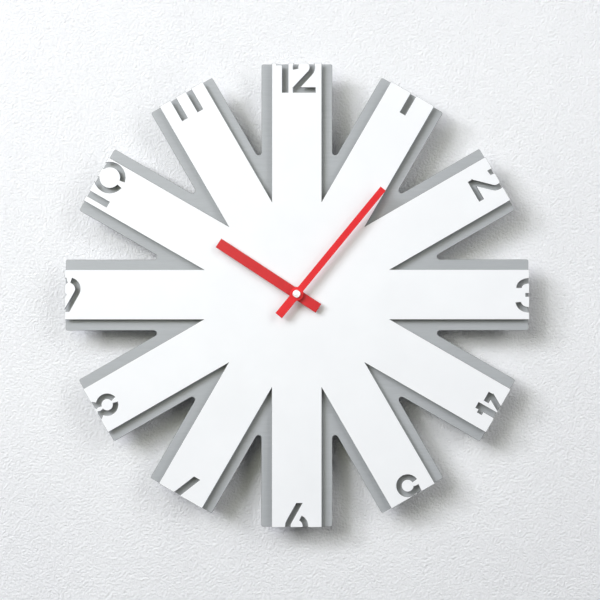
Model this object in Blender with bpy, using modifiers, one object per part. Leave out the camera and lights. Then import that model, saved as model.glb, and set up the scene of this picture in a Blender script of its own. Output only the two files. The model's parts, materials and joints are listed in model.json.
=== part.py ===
"""Twelve-armed stencil wall clock with a quartz movement.

The dial axis meets the wall plane at the origin. The dial faces -Y, +X is to the
right and +Z is up. Inside the dial frame, x is right, y is up and z is the distance
from the wall, so every depth below is measured from the wall plane.
"""
import math

import bmesh
import bpy

# Star plates
ARM_COUNT = 12
TIP_RADIUS = 0.200
FRONT_ARM_WIDTH = 0.043
BACK_ARM_WIDTH = 0.0613
FRONT_SHEET = 0.0015
BACK_SHEET = 0.0015
TIP_CORNER_RADIUS = 0.0015
NOTCH_RADIUS = 0.0025

# Numerals, cut through the front plate
DIGIT_HEIGHT = 0.030
STEM_WIDTH = 0.0052
STROKE_WIDTH = 0.0043
WAIST_WIDTH = 0.0028
UPRIGHT_HOURS = (12, 3, 6, 9)

# Clearances
SEAT_GAP = 0.00025
RUNNING_GAP = 0.00015
CUT_OVERRUN = 0.001
FUSE_OVERLAP = 0.0002

# Hands
HAND_SHEET = 0.0006
HOUR_HAND_LENGTH = 0.0802
HOUR_HAND_TAIL = 0.0223
HOUR_HAND_WIDTH = 0.0089
MINUTE_HAND_LENGTH = 0.1166
MINUTE_HAND_TAIL = 0.0241
MINUTE_HAND_WIDTH = 0.0057
MINUTE_TAIL_WIDTH = 0.0072
MINUTE_EYE_RADIUS = 0.0060
HOUR_HAND_CLEARANCE = 0.0042
HAND_SPACING = 0.0021
COLLET_WALL = 0.0014
HOUR_COLLET_HEIGHT = 0.0014
MINUTE_COLLET_HEIGHT = 0.0009
CAP_RADIUS = 0.0035
CAP_HEIGHT = 0.0030
CAP_ROOF = 0.0008
CAP_RIM_HEIGHT = 0.0008
MINUTES_PER_HOUR = 60
HOURS_PER_TURN = 12
MINUTES_SHOWN = 10 * MINUTES_PER_HOUR + 6.57

# Movement housing
CASE_SIDE = 0.056
CASE_CORNER_RADIUS = 0.003
CASE_DEPTH = 0.0146
CASE_WALL = 0.0015
CASE_REAR_WALL = 0.0012
BAY_HEIGHT = 0.016
BAY_WALL = 0.0012
COVER_SHEET = 0.0012
CLIP_WIDTH = 0.007
CLIP_SHEET = 0.0009
CLIP_LENGTH = 0.0070
CLIP_HEIGHT = 0.014
CLIP_WINDOW_MARGIN = 0.0014
CLIP_LUG_THICKNESS = 0.0009

# Battery cell and its contacts
CELL_RADIUS = 0.0071
CELL_LENGTH = 0.0505
CELL_BUTTON_RADIUS = 0.0027
CELL_BUTTON_LENGTH = 0.0014
CELL_EDGE_RADIUS = 0.0006
CONTACT_SHEET = 0.0003
CONTACT_WIDTH = 0.004
CONTACT_REAR = 0.002
CONTACT_SPRING_RISE = 0.0006
CONTACT_SPRING_REACH = 0.0045

# Threaded bushing, its nut and washer
BUSHING_RADIUS = 0.0040
BUSHING_FLANGE_RADIUS = 0.0055
BUSHING_FLANGE_THICKNESS = 0.0007
NUT_ACROSS_FLATS = 0.0115
NUT_THICKNESS = 0.0024
RUBBER_RADIUS = 0.008
RUBBER_THICKNESS = 0.001

# Hanger, a folded strip with the hole for the wall hook
HANGER_SHEET = 0.0008
HANGER_WIDTH = 0.022
HANGER_FOOT = 0.012
HANGER_RISE_MARGIN = 0.0025
HANGER_STEP_RUN = 0.0015
HANGER_EAR_DEPTH = 0.0024
HANGER_EAR_HEIGHT = 0.019
HANGER_CORNER_RADIUS = 0.006
HOOK_HOLE_RADIUS = 0.0045
HOOK_SLOT_RADIUS = 0.0022
HOOK_SLOT_RISE = 0.0070
HOOK_HOLE_HEIGHT = 0.0070

# Studs that carry the front plate
STUD_COUNT = 4
STUD_CIRCLE_RADIUS = 0.062
STUD_SHOULDER_RADIUS = 0.0035
STUD_SHANK_RADIUS = 0.0015
STUD_NUT_ACROSS_FLATS = 0.0055
STUD_NUT_THICKNESS = 0.0024
STUD_TAIL = 0.0008

# Hand pipes and arbors
MINUTE_PIPE_RADIUS = 0.0016
MINUTE_PIPE_BORE = 0.00075
CANNON_STEM_RADIUS = 0.00115
HOUR_PIPE_RADIUS = 0.0025
HOUR_PIPE_PROUD = 0.0003
MINUTE_PIPE_PROUD = 0.0022
PIPE_CLEARANCE = 0.0002
ARBOR_RADIUS = 0.0004
MOTION_ARBOR_RADIUS = 0.0005
PIVOT_DEPTH = 0.0010
SECONDS_ARBOR_REACH = 0.0010

# Teeth
CANNON_TEETH = 12
MOTION_WHEEL_TEETH = 36
MOTION_PINION_TEETH = 10
HOUR_WHEEL_TEETH = 40
SETTING_TEETH = 12
CENTRE_WHEEL_TEETH = 64
THIRD_PINION_TEETH = 8
THIRD_WHEEL_TEETH = 60
SECONDS_PINION_TEETH = 8
SECONDS_WHEEL_TEETH = 48
INTERMEDIATE_PINION_TEETH = 8
INTERMEDIATE_WHEEL_TEETH = 40
ROTOR_TEETH = 8
WHEEL_ADDENDUM_SHARE = 0.95
WHEEL_DEDENDUM_SHARE = 1.50
WHEEL_TIP_SHARE = 0.16
PINION_ADDENDUM_SHARE = 0.75
PINION_DEDENDUM_SHARE = 1.45
PINION_FLANK_SHARE = 0.38
PINION_TIP_SHARE = 0.14

# Where the arbors stand around the dial axis
MOTION_CENTRE_DISTANCE = 0.0075
THIRD_CENTRE_DISTANCE = 0.0072
SECONDS_CENTRE_DISTANCE = 0.0074
ROTOR_CENTRE_DISTANCE = 0.0060
MOTION_DIRECTION = math.radians(90)
THIRD_DIRECTION = math.radians(180)
INTERMEDIATE_DIRECTION = math.radians(0)
ROTOR_DIRECTION = math.radians(30)

# Depths of the wheels, from the wall plane to each wheel's rear face
WHEEL_SHEET = 0.0006
LEAF_LENGTH = 0.0012
ROTOR_MAGNET_REAR = 0.0030
ROTOR_MAGNET_LENGTH = 0.0020
ROTOR_MAGNET_RADIUS = 0.0026
ROTOR_LEAVES_REAR = 0.0052
INTERMEDIATE_WHEEL_REAR = 0.0055
SECONDS_WHEEL_REAR = 0.0066
THIRD_WHEEL_REAR = 0.0077
CENTRE_WHEEL_REAR = 0.0088
CENTRE_HUB_RADIUS = 0.0022
CENTRE_HUB_LENGTH = 0.0010
BRIDGE_REAR = 0.0100
BRIDGE_SHEET = 0.0008
CANNON_LEAVES_REAR = 0.0110
MOTION_WHEEL_REAR = 0.0113
MOTION_WHEEL_SHEET = 0.0007
HOUR_WHEEL_REAR = 0.0127
HOUR_WHEEL_SHEET = 0.0008
MOTION_LEAVES_LENGTH = 0.0017

# Bosses and pillars moulded on the housing
BOSS_RADIUS = 0.0011
BOSS_FRONT = 0.0027
PILLAR_RADIUS = 0.0015
PILLAR_PLACES = ((-0.0155, -0.0065), (-0.0100, 0.0110), (0.0175, -0.0055), (0.0175, 0.0110))
COVER_BOSS_RADIUS = 0.0014
COVER_BOSS_LENGTH = 0.0009
SETTING_BOSS_RADIUS = 0.0022
SETTING_BOSS_LENGTH = 0.0018

# Setting knob, sunk in a cup of the rear wall
KNOB_RADIUS = 0.0058
KNOB_THICKNESS = 0.0018
KNOB_SINK = 0.0003
KNOB_RIBS = 24
KNOB_RIB_DEPTH = 0.0004
KNOB_CUP_CLEARANCE = 0.0005
KNOB_CUP_WALL = 0.0010
SETTING_ARBOR_RADIUS = 0.0012

# Marks sunk in the rear wall: cell ends, and the way the knob turns
MARK_DEPTH = 0.0003
MARK_WIDTH = 0.0006
MARK_LENGTH = 0.0030
MARK_PLACE = (0.0215, -0.0060)
TURN_MARK_RADIUS = 0.0092
TURN_MARK_SPREAD = math.radians(34)
TURN_MARK_HEAD = 0.0018

# Stepping motor
STATOR_SHEET = 0.0010
STATOR_REAR = 0.0030
STATOR_RING_RADIUS = 0.0046
STATOR_BORE_GAP = 0.0004
STATOR_LEG_WIDTH = 0.0022
STATOR_LEFT_LEG = 0.0105
STATOR_RIGHT_LEG = 0.0245
STATOR_FOOT_HEIGHT = 0.0018
STATOR_YOKE_HEIGHT = 0.0052
COIL_HEIGHT = 0.0190
CORE_THICKNESS = 0.0012
COIL_RADIUS = 0.0029
COIL_FLANGE_RADIUS = 0.0033
COIL_FLANGE_THICKNESS = 0.0006

# Circuit board and what it carries
BOARD_THICKNESS = 0.0008
BOARD_REAR = 0.0029
BOARD_LEFT = -0.0255
BOARD_RIGHT = -0.0125
BOARD_LOW = 0.0060
BOARD_HIGH = 0.0255
BOARD_POST_RADIUS = 0.0014
BOARD_POST_INSET = 0.0025
QUARTZ_RADIUS = 0.0015
QUARTZ_LENGTH = 0.0062
QUARTZ_PLACE = (-0.0220, 0.0190)
CHIP_RADIUS = 0.0024
CHIP_HEIGHT = 0.0009
CHIP_PLACE = (-0.0175, 0.0115)

# Facet counts
FINE_STEPS = 24
ROUND_STEPS = 16
SMALL_STEPS = 8
CORNER_STEPS = 3
BOW_STEP = math.radians(15)
WELD_DISTANCE = 0.000001
SHARP_ANGLE = math.radians(35)

# Strokes of the stencil numerals. Every figure is a share of the digit height, measured
# from the middle of the arm's tip: across to the right, up away from the digit's foot.
# A stem has two flat ends, a leg has a flat end and then a square one, a bar is level
# (left, right, height), and a bow is part of a ring (centre, two radii, two angles).
SIX_BOWL_SHARES = (0.252, 0.252)
EIGHT_BOWL_SHARES = (0.242, 0.242)
NUMERAL_SHARES = {
    12: (
        ("stem", -0.334, -0.851, -0.334, 0.058),
        ("bar", -0.590, -0.334, 0.012),
        ("bar", -0.107, 0.535, -0.779),
        ("leg", -0.018, -0.719, 0.381, -0.292),
        ("bow", 0.204, -0.127, 0.242, 0.242, -43, 191),
    ),
    1: (("stem", 0.032, -0.644, 0.032, 0.058),),
    2: (
        ("bar", -0.338, 0.304, -0.722),
        ("leg", -0.250, -0.670, 0.150, -0.263),
        ("bow", -0.027, -0.098, 0.242, 0.242, -43, 189),
    ),
    3: (
        ("bow", -0.020, 0.200, 0.274, 0.190, -10, 182),
        ("waist", -0.105, 0.058, -0.012),
        ("bow", -0.020, -0.207, 0.297, 0.233, 185, 370),
    ),
    4: (
        ("stem", 0.157, -0.610, 0.157, 0.058),
        ("bar", 0.157, 0.339, -0.432),
        ("bar", -0.328, -0.053, -0.432),
        ("stroke", -0.267, -0.374, -0.022, 0.058),
    ),
    5: (
        ("bow", -0.010, -0.338, 0.249, 0.249, -173, 146),
        ("stroke", -0.224, -0.217, -0.196, 0.058),
    ),
    6: (
        ("leg", 0.074, 0.688, -0.223, 0.158),
        ("bow", -0.003, 0.037, *SIX_BOWL_SHARES, 151, 255),
        ("bow", -0.003, 0.037, *SIX_BOWL_SHARES, 285, 423),
    ),
    7: (("stem", -0.159, -0.674, 0.142, 0.058),),
    8: (
        ("bow", -0.016, -0.378, *EIGHT_BOWL_SHARES, -75, 75),
        ("bow", -0.016, -0.378, *EIGHT_BOWL_SHARES, 105, 255),
        ("bow", -0.012, 0.116, *EIGHT_BOWL_SHARES, -75, 30),
        ("bow", -0.012, 0.116, *EIGHT_BOWL_SHARES, 150, 255),
    ),
    9: (
        ("leg", 0.049, -0.486, 0.346, 0.044),
        ("bow", 0.126, 0.165, *SIX_BOWL_SHARES, -29, 75),
        ("bow", 0.126, 0.165, *SIX_BOWL_SHARES, 105, 243),
    ),
    10: (
        ("stem", -0.470, -0.670, -0.470, 0.058),
        ("bow", 0.228, -0.325, 0.377, 0.377, -77, 65),
        ("bow", 0.228, -0.325, 0.377, 0.377, 115, 257),
    ),
    11: (
        ("stem", -0.266, -0.690, -0.266, 0.058),
        ("stem", 0.244, -0.690, 0.244, 0.058),
    ),
}

# Depths that follow from the sizes above
COVER_REAR = CASE_DEPTH + SEAT_GAP
COVER_FRONT = COVER_REAR + COVER_SHEET
HANGER_REAR = COVER_FRONT + SEAT_GAP
HANGER_FRONT = HANGER_REAR + HANGER_SHEET
RUBBER_REAR = HANGER_FRONT + SEAT_GAP
RUBBER_FRONT = RUBBER_REAR + RUBBER_THICKNESS
BACK_REAR = RUBBER_FRONT + SEAT_GAP
BACK_FRONT = BACK_REAR + BACK_SHEET
NUT_REAR = BACK_FRONT + SEAT_GAP
NUT_FRONT = NUT_REAR + NUT_THICKNESS
FRONT_REAR = NUT_FRONT + SEAT_GAP
FRONT_FRONT = FRONT_REAR + FRONT_SHEET
HOUR_HAND_REAR = FRONT_FRONT + HOUR_HAND_CLEARANCE
HOUR_HAND_FRONT = HOUR_HAND_REAR + HAND_SHEET
MINUTE_HAND_REAR = HOUR_HAND_FRONT + HAND_SPACING
MINUTE_HAND_FRONT = MINUTE_HAND_REAR + HAND_SHEET
CAP_REAR = MINUTE_HAND_FRONT + SEAT_GAP

# Radii that follow
HOUR_PIPE_BORE = MINUTE_PIPE_RADIUS + PIPE_CLEARANCE
BUSHING_BORE = HOUR_PIPE_RADIUS + PIPE_CLEARANCE
FRONT_HOLE_RADIUS = HOUR_PIPE_RADIUS + SEAT_GAP + PIPE_CLEARANCE

# Arbor places in the dial frame
MOTION_PLACE = (
    MOTION_CENTRE_DISTANCE * math.cos(MOTION_DIRECTION),
    MOTION_CENTRE_DISTANCE * math.sin(MOTION_DIRECTION),
)
THIRD_PLACE = (
    THIRD_CENTRE_DISTANCE * math.cos(THIRD_DIRECTION),
    THIRD_CENTRE_DISTANCE * math.sin(THIRD_DIRECTION),
)
INTERMEDIATE_PLACE = (
    SECONDS_CENTRE_DISTANCE * math.cos(INTERMEDIATE_DIRECTION),
    SECONDS_CENTRE_DISTANCE * math.sin(INTERMEDIATE_DIRECTION),
)
ROTOR_PLACE = (
    INTERMEDIATE_PLACE[0] + ROTOR_CENTRE_DISTANCE * math.cos(ROTOR_DIRECTION),
    INTERMEDIATE_PLACE[1] + ROTOR_CENTRE_DISTANCE * math.sin(ROTOR_DIRECTION),
)

# Tooth modules, each from its pair's centre distance
CANNON_MODULE = 2 * MOTION_CENTRE_DISTANCE / (CANNON_TEETH + MOTION_WHEEL_TEETH)
HOUR_MODULE = 2 * MOTION_CENTRE_DISTANCE / (HOUR_WHEEL_TEETH + MOTION_PINION_TEETH)
CENTRE_MODULE = 2 * THIRD_CENTRE_DISTANCE / (CENTRE_WHEEL_TEETH + THIRD_PINION_TEETH)
THIRD_MODULE = 2 * THIRD_CENTRE_DISTANCE / (THIRD_WHEEL_TEETH + SECONDS_PINION_TEETH)
SECONDS_MODULE = 2 * SECONDS_CENTRE_DISTANCE / (SECONDS_WHEEL_TEETH + INTERMEDIATE_PINION_TEETH)
ROTOR_MODULE = 2 * ROTOR_CENTRE_DISTANCE / (INTERMEDIATE_WHEEL_TEETH + ROTOR_TEETH)

SETTING_CENTRE_DISTANCE = CANNON_MODULE * (MOTION_WHEEL_TEETH + SETTING_TEETH) / 2
SETTING_PLACE = (
    MOTION_PLACE[0] + SETTING_CENTRE_DISTANCE * math.cos(MOTION_DIRECTION),
    MOTION_PLACE[1] + SETTING_CENTRE_DISTANCE * math.sin(MOTION_DIRECTION),
)

FINISHES = {
    "white_lacquer": ((0.90, 0.91, 0.93, 1.0), 0.45, 0.0),
    "grey_lacquer": ((0.53, 0.55, 0.58, 1.0), 0.50, 0.0),
    "red_lacquer": ((0.80, 0.02, 0.03, 1.0), 0.40, 0.0),
    "dark_red_lacquer": ((0.58, 0.03, 0.04, 1.0), 0.45, 0.0),
    "polished_nickel": ((0.82, 0.82, 0.80, 1.0), 0.20, 1.0),
    "zinc_steel": ((0.60, 0.61, 0.62, 1.0), 0.35, 1.0),
    "brass": ((0.75, 0.55, 0.25, 1.0), 0.30, 1.0),
    "black_moulding": ((0.03, 0.03, 0.03, 1.0), 0.55, 0.0),
    "black_rubber": ((0.02, 0.02, 0.02, 1.0), 0.85, 0.0),
    "white_nylon": ((0.85, 0.84, 0.78, 1.0), 0.50, 0.0),
    "magnet": ((0.12, 0.12, 0.13, 1.0), 0.60, 0.3),
    "copper_wire": ((0.72, 0.32, 0.12, 1.0), 0.40, 1.0),
    "board": ((0.05, 0.25, 0.10, 1.0), 0.50, 0.0),
    "resin": ((0.02, 0.02, 0.025, 1.0), 0.30, 0.0),
    "cell_jacket": ((0.10, 0.16, 0.24, 1.0), 0.35, 0.0),
}


def clear_scene():
    """Remove what an empty file starts with."""
    for old in list(bpy.data.objects):
        bpy.data.objects.remove(old, do_unlink=True)
    for old in list(bpy.data.collections):
        bpy.data.collections.remove(old)


def new_collection(name):
    collection = bpy.data.collections.new(name)
    bpy.context.scene.collection.children.link(collection)
    return collection


def finish_material(name):
    """One Principled material for each finish, shared by the pieces that have it."""
    material = bpy.data.materials.get(name)
    if material is None:
        color, roughness, metallic = FINISHES[name]
        material = bpy.data.materials.new(name)
        material.use_nodes = True
        material.diffuse_color = color
        shader = material.node_tree.nodes["Principled BSDF"]
        shader.inputs["Base Color"].default_value = color
        shader.inputs["Roughness"].default_value = roughness
        shader.inputs["Metallic"].default_value = metallic
    return material


def place(piece, collection, at=(0, 0), turn=0.0):
    """Stand a piece in the dial frame at a place on the dial, turned clockwise."""
    collection.objects.link(piece)
    piece.parent = DIAL_FRAME
    piece.location = (at[0], at[1], 0)
    piece.rotation_euler = (0, 0, -turn)
    return piece


def piece_of(name, mesh, finish, at=(0, 0), turn=0.0):
    """A named sub-part of the clock."""
    piece = bpy.data.objects.new(name, mesh)
    if not mesh.materials:
        mesh.materials.append(finish_material(finish))
    return place(piece, PARTS, at, turn)


def shape(piece, operation, name, mesh, at=(0, 0)):
    """Cut or fuse a solid into a piece, in one step with the same kind of solids before it."""
    step = piece.modifiers[-1] if piece.modifiers else None
    if step is None or step.operation != operation:
        group = bpy.data.collections.new(f"{piece.name}_{len(piece.modifiers) + 1}")
        CUTTERS.children.link(group)
        step = piece.modifiers.new(group.name, "BOOLEAN")
        step.operation = operation
        step.solver = "EXACT"
        step.operand_type = "COLLECTION"
        step.collection = group
    guide = bpy.data.objects.new(name, mesh)
    guide.hide_render = True
    guide.display_type = "WIRE"
    return place(guide, step.collection, at)


def circle(radius, steps=ROUND_STEPS, at=(0, 0)):
    """Evenly spaced points on a circle."""
    return [
        (at[0] + radius * math.cos(math.tau * k / steps), at[1] + radius * math.sin(math.tau * k / steps))
        for k in range(steps)
    ]


def rectangle(left, low, right, high):
    return [(left, low), (right, low), (right, high), (left, high)]


def arc_points(centre, radius, start, end, steps):
    return [
        (
            centre[0] + radius * math.cos(start + (end - start) * k / steps),
            centre[1] + radius * math.sin(start + (end - start) * k / steps),
        )
        for k in range(steps + 1)
    ]


def rounded_rectangle(left, low, right, high, radius):
    """A rectangle whose corners are arcs."""
    centres = (
        (right - radius, high - radius),
        (left + radius, high - radius),
        (left + radius, low + radius),
        (right - radius, low + radius),
    )
    points = []
    for quarter, centre in enumerate(centres):
        start = quarter * math.pi / 2
        points += arc_points(centre, radius, start, start + math.pi / 2, CORNER_STEPS)
    return points


def hexagon(across_flats):
    return circle(across_flats / 2 / math.cos(math.pi / 6), 6)


def turned_by(points, angle):
    """Points turned clockwise about the dial axis."""
    return [
        (x * math.cos(angle) + y * math.sin(angle), y * math.cos(angle) - x * math.sin(angle))
        for x, y in points
    ]


def shifted(points, right, up):
    return [(x + right, y + up) for x, y in points]


def flat_mesh(name, loops, rear, front):
    """The solid between two depths whose outline is the first loop, with the rest as holes."""
    curve = bpy.data.curves.new(name, "CURVE")
    curve.dimensions = "2D"
    curve.fill_mode = "BOTH"
    curve.extrude = (front - rear) / 2
    for loop in loops:
        spline = curve.splines.new("POLY")
        spline.points.add(len(loop) - 1)
        for point, (x, y) in zip(spline.points, loop):
            point.co = (x, y, 0, 1)
        spline.use_cyclic_u = True
    holder = bpy.data.objects.new(name, curve)
    CUTTERS.objects.link(holder)
    bpy.context.view_layer.update()
    ready = holder.evaluated_get(bpy.context.evaluated_depsgraph_get())
    mesh = bpy.data.meshes.new_from_object(ready)
    bpy.data.objects.remove(holder)
    solid = bmesh.new()
    solid.from_mesh(mesh)
    bmesh.ops.remove_doubles(solid, verts=solid.verts, dist=WELD_DISTANCE)
    bmesh.ops.translate(solid, verts=solid.verts, vec=(0, 0, (rear + front) / 2))
    bmesh.ops.recalc_face_normals(solid, faces=solid.faces)
    solid.to_mesh(mesh)
    solid.free()
    mesh.name = name
    mesh.materials.clear()
    return mesh


def turned_mesh(name, profile, steps=ROUND_STEPS):
    """A profile of (radius, depth) points, front to rear down its outer side, spun round."""
    mesh = bpy.data.meshes.new(name)
    solid = bmesh.new()
    verts = [solid.verts.new((radius, 0, depth)) for radius, depth in profile]
    closed = profile[0][0] > 0
    for first, second in zip(verts, verts[1:] + (verts[:1] if closed else [])):
        solid.edges.new((first, second))
    solid.to_mesh(mesh)
    solid.free()
    holder = bpy.data.objects.new(name, mesh)
    CUTTERS.objects.link(holder)
    spin = holder.modifiers.new("spin", "SCREW")
    spin.axis = "Z"
    spin.angle = math.tau
    spin.steps = steps
    spin.render_steps = steps
    spin.use_merge_vertices = True
    spin.merge_threshold = WELD_DISTANCE
    spin.use_smooth_shade = True
    bpy.context.view_layer.update()
    ready = holder.evaluated_get(bpy.context.evaluated_depsgraph_get())
    spun = bpy.data.meshes.new_from_object(ready)
    bpy.data.objects.remove(holder)
    bpy.data.meshes.remove(mesh)
    spun.name = name
    spun.set_sharp_from_angle(angle=SHARP_ANGLE)
    return spun


def rod_mesh(name, radius, rear, front, steps=ROUND_STEPS):
    """A plain round solid between two depths."""
    return turned_mesh(name, [(0, front), (radius, front), (radius, rear), (0, rear)], steps)


def ring_mesh(name, bore, radius, rear, front, steps=ROUND_STEPS):
    """A plain ring between two depths."""
    return turned_mesh(name, [(bore, front), (radius, front), (radius, rear), (bore, rear)], steps)


def fuse_rod(piece, name, radius, rear, front, at=(0, 0), steps=ROUND_STEPS):
    shape(piece, "UNION", name, rod_mesh(name, radius, rear, front, steps), at)


def cut_rod(piece, name, radius, rear, front, at=(0, 0), steps=ROUND_STEPS):
    shape(piece, "DIFFERENCE", name, rod_mesh(name, radius, rear, front, steps), at)


def fuse_flat(piece, name, loops, rear, front, at=(0, 0)):
    shape(piece, "UNION", name, flat_mesh(name, loops, rear, front), at)


def cut_flat(piece, name, loops, rear, front, at=(0, 0)):
    shape(piece, "DIFFERENCE", name, flat_mesh(name, loops, rear, front), at)


def arm_directions():
    """Clockwise angle of each arm from twelve."""
    return [math.tau * hour / ARM_COUNT for hour in range(ARM_COUNT)]


def front_star():
    """Square tips and sharp notches."""
    half_sector = math.pi / ARM_COUNT
    half = FRONT_ARM_WIDTH / 2
    notch = half / math.sin(half_sector)
    arm = [
        (-half, TIP_RADIUS),
        (half, TIP_RADIUS),
        (notch * math.sin(half_sector), notch * math.cos(half_sector)),
    ]
    return [point for turn in arm_directions() for point in turned_by(arm, turn)]


def back_star():
    """Rounded tip corners and rounded notches."""
    half_sector = math.pi / ARM_COUNT
    half = BACK_ARM_WIDTH / 2
    inset = half - TIP_CORNER_RADIUS
    level = TIP_RADIUS - TIP_CORNER_RADIUS
    arm = arc_points((-inset, level), TIP_CORNER_RADIUS, math.pi, math.pi / 2, CORNER_STEPS)
    arm += arc_points((inset, level), TIP_CORNER_RADIUS, math.pi / 2, 0, CORNER_STEPS)
    reach = (half + NOTCH_RADIUS) / math.sin(half_sector)
    centre = (reach * math.sin(half_sector), reach * math.cos(half_sector))
    start = math.pi
    end = math.tau - math.tau / ARM_COUNT
    arm += arc_points(centre, NOTCH_RADIUS, start, end, 2 * CORNER_STEPS)
    return [point for turn in arm_directions() for point in turned_by(arm, turn)]


def slanted(low, high, width):
    """A straight stroke cut level at both ends."""
    half = width / 2 / math.cos(math.atan2(high[0] - low[0], high[1] - low[1]))
    foot = [(low[0] - half, low[1]), (low[0] + half, low[1])]
    return foot + [(high[0] + half, high[1]), (high[0] - half, high[1])]


def leg(flat, square, width):
    """A straight stroke cut level at its first end and square at its second."""
    run = math.hypot(square[0] - flat[0], square[1] - flat[1])
    along = ((square[0] - flat[0]) / run, (square[1] - flat[1]) / run)
    side = (along[1] * width / 2, -along[0] * width / 2)
    half = abs(width / 2 / along[1])
    sense = math.copysign(1, along[1])
    return [
        (flat[0] - half * sense, flat[1]),
        (square[0] - side[0], square[1] - side[1]),
        (square[0] + side[0], square[1] + side[1]),
        (flat[0] + half * sense, flat[1]),
    ]


def bow(centre, radii, angles, width):
    """Part of a ring, given by its middle line."""
    start, end = (math.radians(angle) for angle in angles)
    steps = max(2, round((end - start) / BOW_STEP))
    points = []
    for side in (1, -1):
        for k in range(steps + 1):
            share = k / steps if side > 0 else 1 - k / steps
            angle = start + (end - start) * share
            points.append((
                centre[0] + (radii[0] + side * width / 2) * math.cos(angle),
                centre[1] + (radii[1] + side * width / 2) * math.sin(angle),
            ))
    return points


def stroke_outline(kind, *shares):
    """One stroke of a numeral, at its real size."""
    angles = shares[4:]
    sizes = [share * DIGIT_HEIGHT for share in shares[:4]]
    if kind == "bow":
        return bow(sizes[:2], sizes[2:], angles, STROKE_WIDTH)
    if kind == "bar" or kind == "waist":
        half = (STROKE_WIDTH if kind == "bar" else WAIST_WIDTH) / 2
        return rectangle(sizes[0], sizes[2] - half, sizes[1], sizes[2] + half)
    if kind == "leg":
        return leg(sizes[:2], sizes[2:], STROKE_WIDTH)
    return slanted(sizes[:2], sizes[2:], STEM_WIDTH if kind == "stem" else STROKE_WIDTH)


def on_arm(hour, points):
    """Move a numeral's points from its arm's tip to their place on the dial."""
    turn = math.tau * hour / ARM_COUNT
    if hour in UPRIGHT_HOURS:
        return shifted(points, TIP_RADIUS * math.sin(turn), TIP_RADIUS * math.cos(turn))
    return turned_by(shifted(points, 0, TIP_RADIUS), turn)


def make_front_plate():
    hole = circle(FRONT_HOLE_RADIUS)
    mesh = flat_mesh("front_plate", [front_star(), hole], FRONT_REAR, FRONT_FRONT)
    plate = piece_of("front_plate", mesh, "white_lacquer")
    for hour, strokes in NUMERAL_SHARES.items():
        for index, stroke in enumerate(strokes):
            name = f"slot_{hour}_{index}"
            outline = on_arm(hour, stroke_outline(*stroke))
            cut_flat(plate, name, [outline], FRONT_REAR - CUT_OVERRUN, FRONT_FRONT + CUT_OVERRUN)


def stud_places():
    """Studs between the axes, so none stands behind a hand at rest."""
    return [
        (STUD_CIRCLE_RADIUS * math.sin(angle), STUD_CIRCLE_RADIUS * math.cos(angle))
        for angle in (math.tau * (k + 1 / 2) / STUD_COUNT for k in range(STUD_COUNT))
    ]


def make_back_plate():
    holes = [circle(BUSHING_RADIUS + SEAT_GAP)]
    holes += [circle(STUD_SHANK_RADIUS + SEAT_GAP, SMALL_STEPS, at) for at in stud_places()]
    mesh = flat_mesh("back_plate", [back_star()] + holes, BACK_REAR, BACK_FRONT)
    piece_of("back_plate", mesh, "grey_lacquer")


def make_studs():
    """Shouldered studs welded behind the front plate, and their nuts."""
    nut_front = BACK_REAR - SEAT_GAP
    nut_rear = nut_front - STUD_NUT_THICKNESS
    profile = [
        (0, FRONT_REAR - SEAT_GAP),
        (STUD_SHOULDER_RADIUS, FRONT_REAR - SEAT_GAP),
        (STUD_SHOULDER_RADIUS, BACK_FRONT + SEAT_GAP),
        (STUD_SHANK_RADIUS, BACK_FRONT + SEAT_GAP),
        (STUD_SHANK_RADIUS, nut_rear - STUD_TAIL),
        (0, nut_rear - STUD_TAIL),
    ]
    stud = turned_mesh("plate_stud", profile, SMALL_STEPS)
    bore = circle(STUD_SHANK_RADIUS + SEAT_GAP, SMALL_STEPS)
    nut = flat_mesh("stud_nut", [hexagon(STUD_NUT_ACROSS_FLATS), bore], nut_rear, nut_front)
    for index, at in enumerate(stud_places(), 1):
        piece_of(f"plate_stud_{index}", stud, "zinc_steel", at)
        piece_of(f"stud_nut_{index}", nut, "zinc_steel", at)


def keyhole(centre):
    """A round hole with a narrower slot above it."""
    start = math.pi / 2 + math.asin(HOOK_SLOT_RADIUS / HOOK_HOLE_RADIUS)
    points = arc_points(centre, HOOK_HOLE_RADIUS, start, math.tau + math.pi - start, ROUND_STEPS)
    top = (centre[0], centre[1] + HOOK_SLOT_RISE)
    return points + arc_points(top, HOOK_SLOT_RADIUS, 0, math.pi, 2 * CORNER_STEPS)


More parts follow.
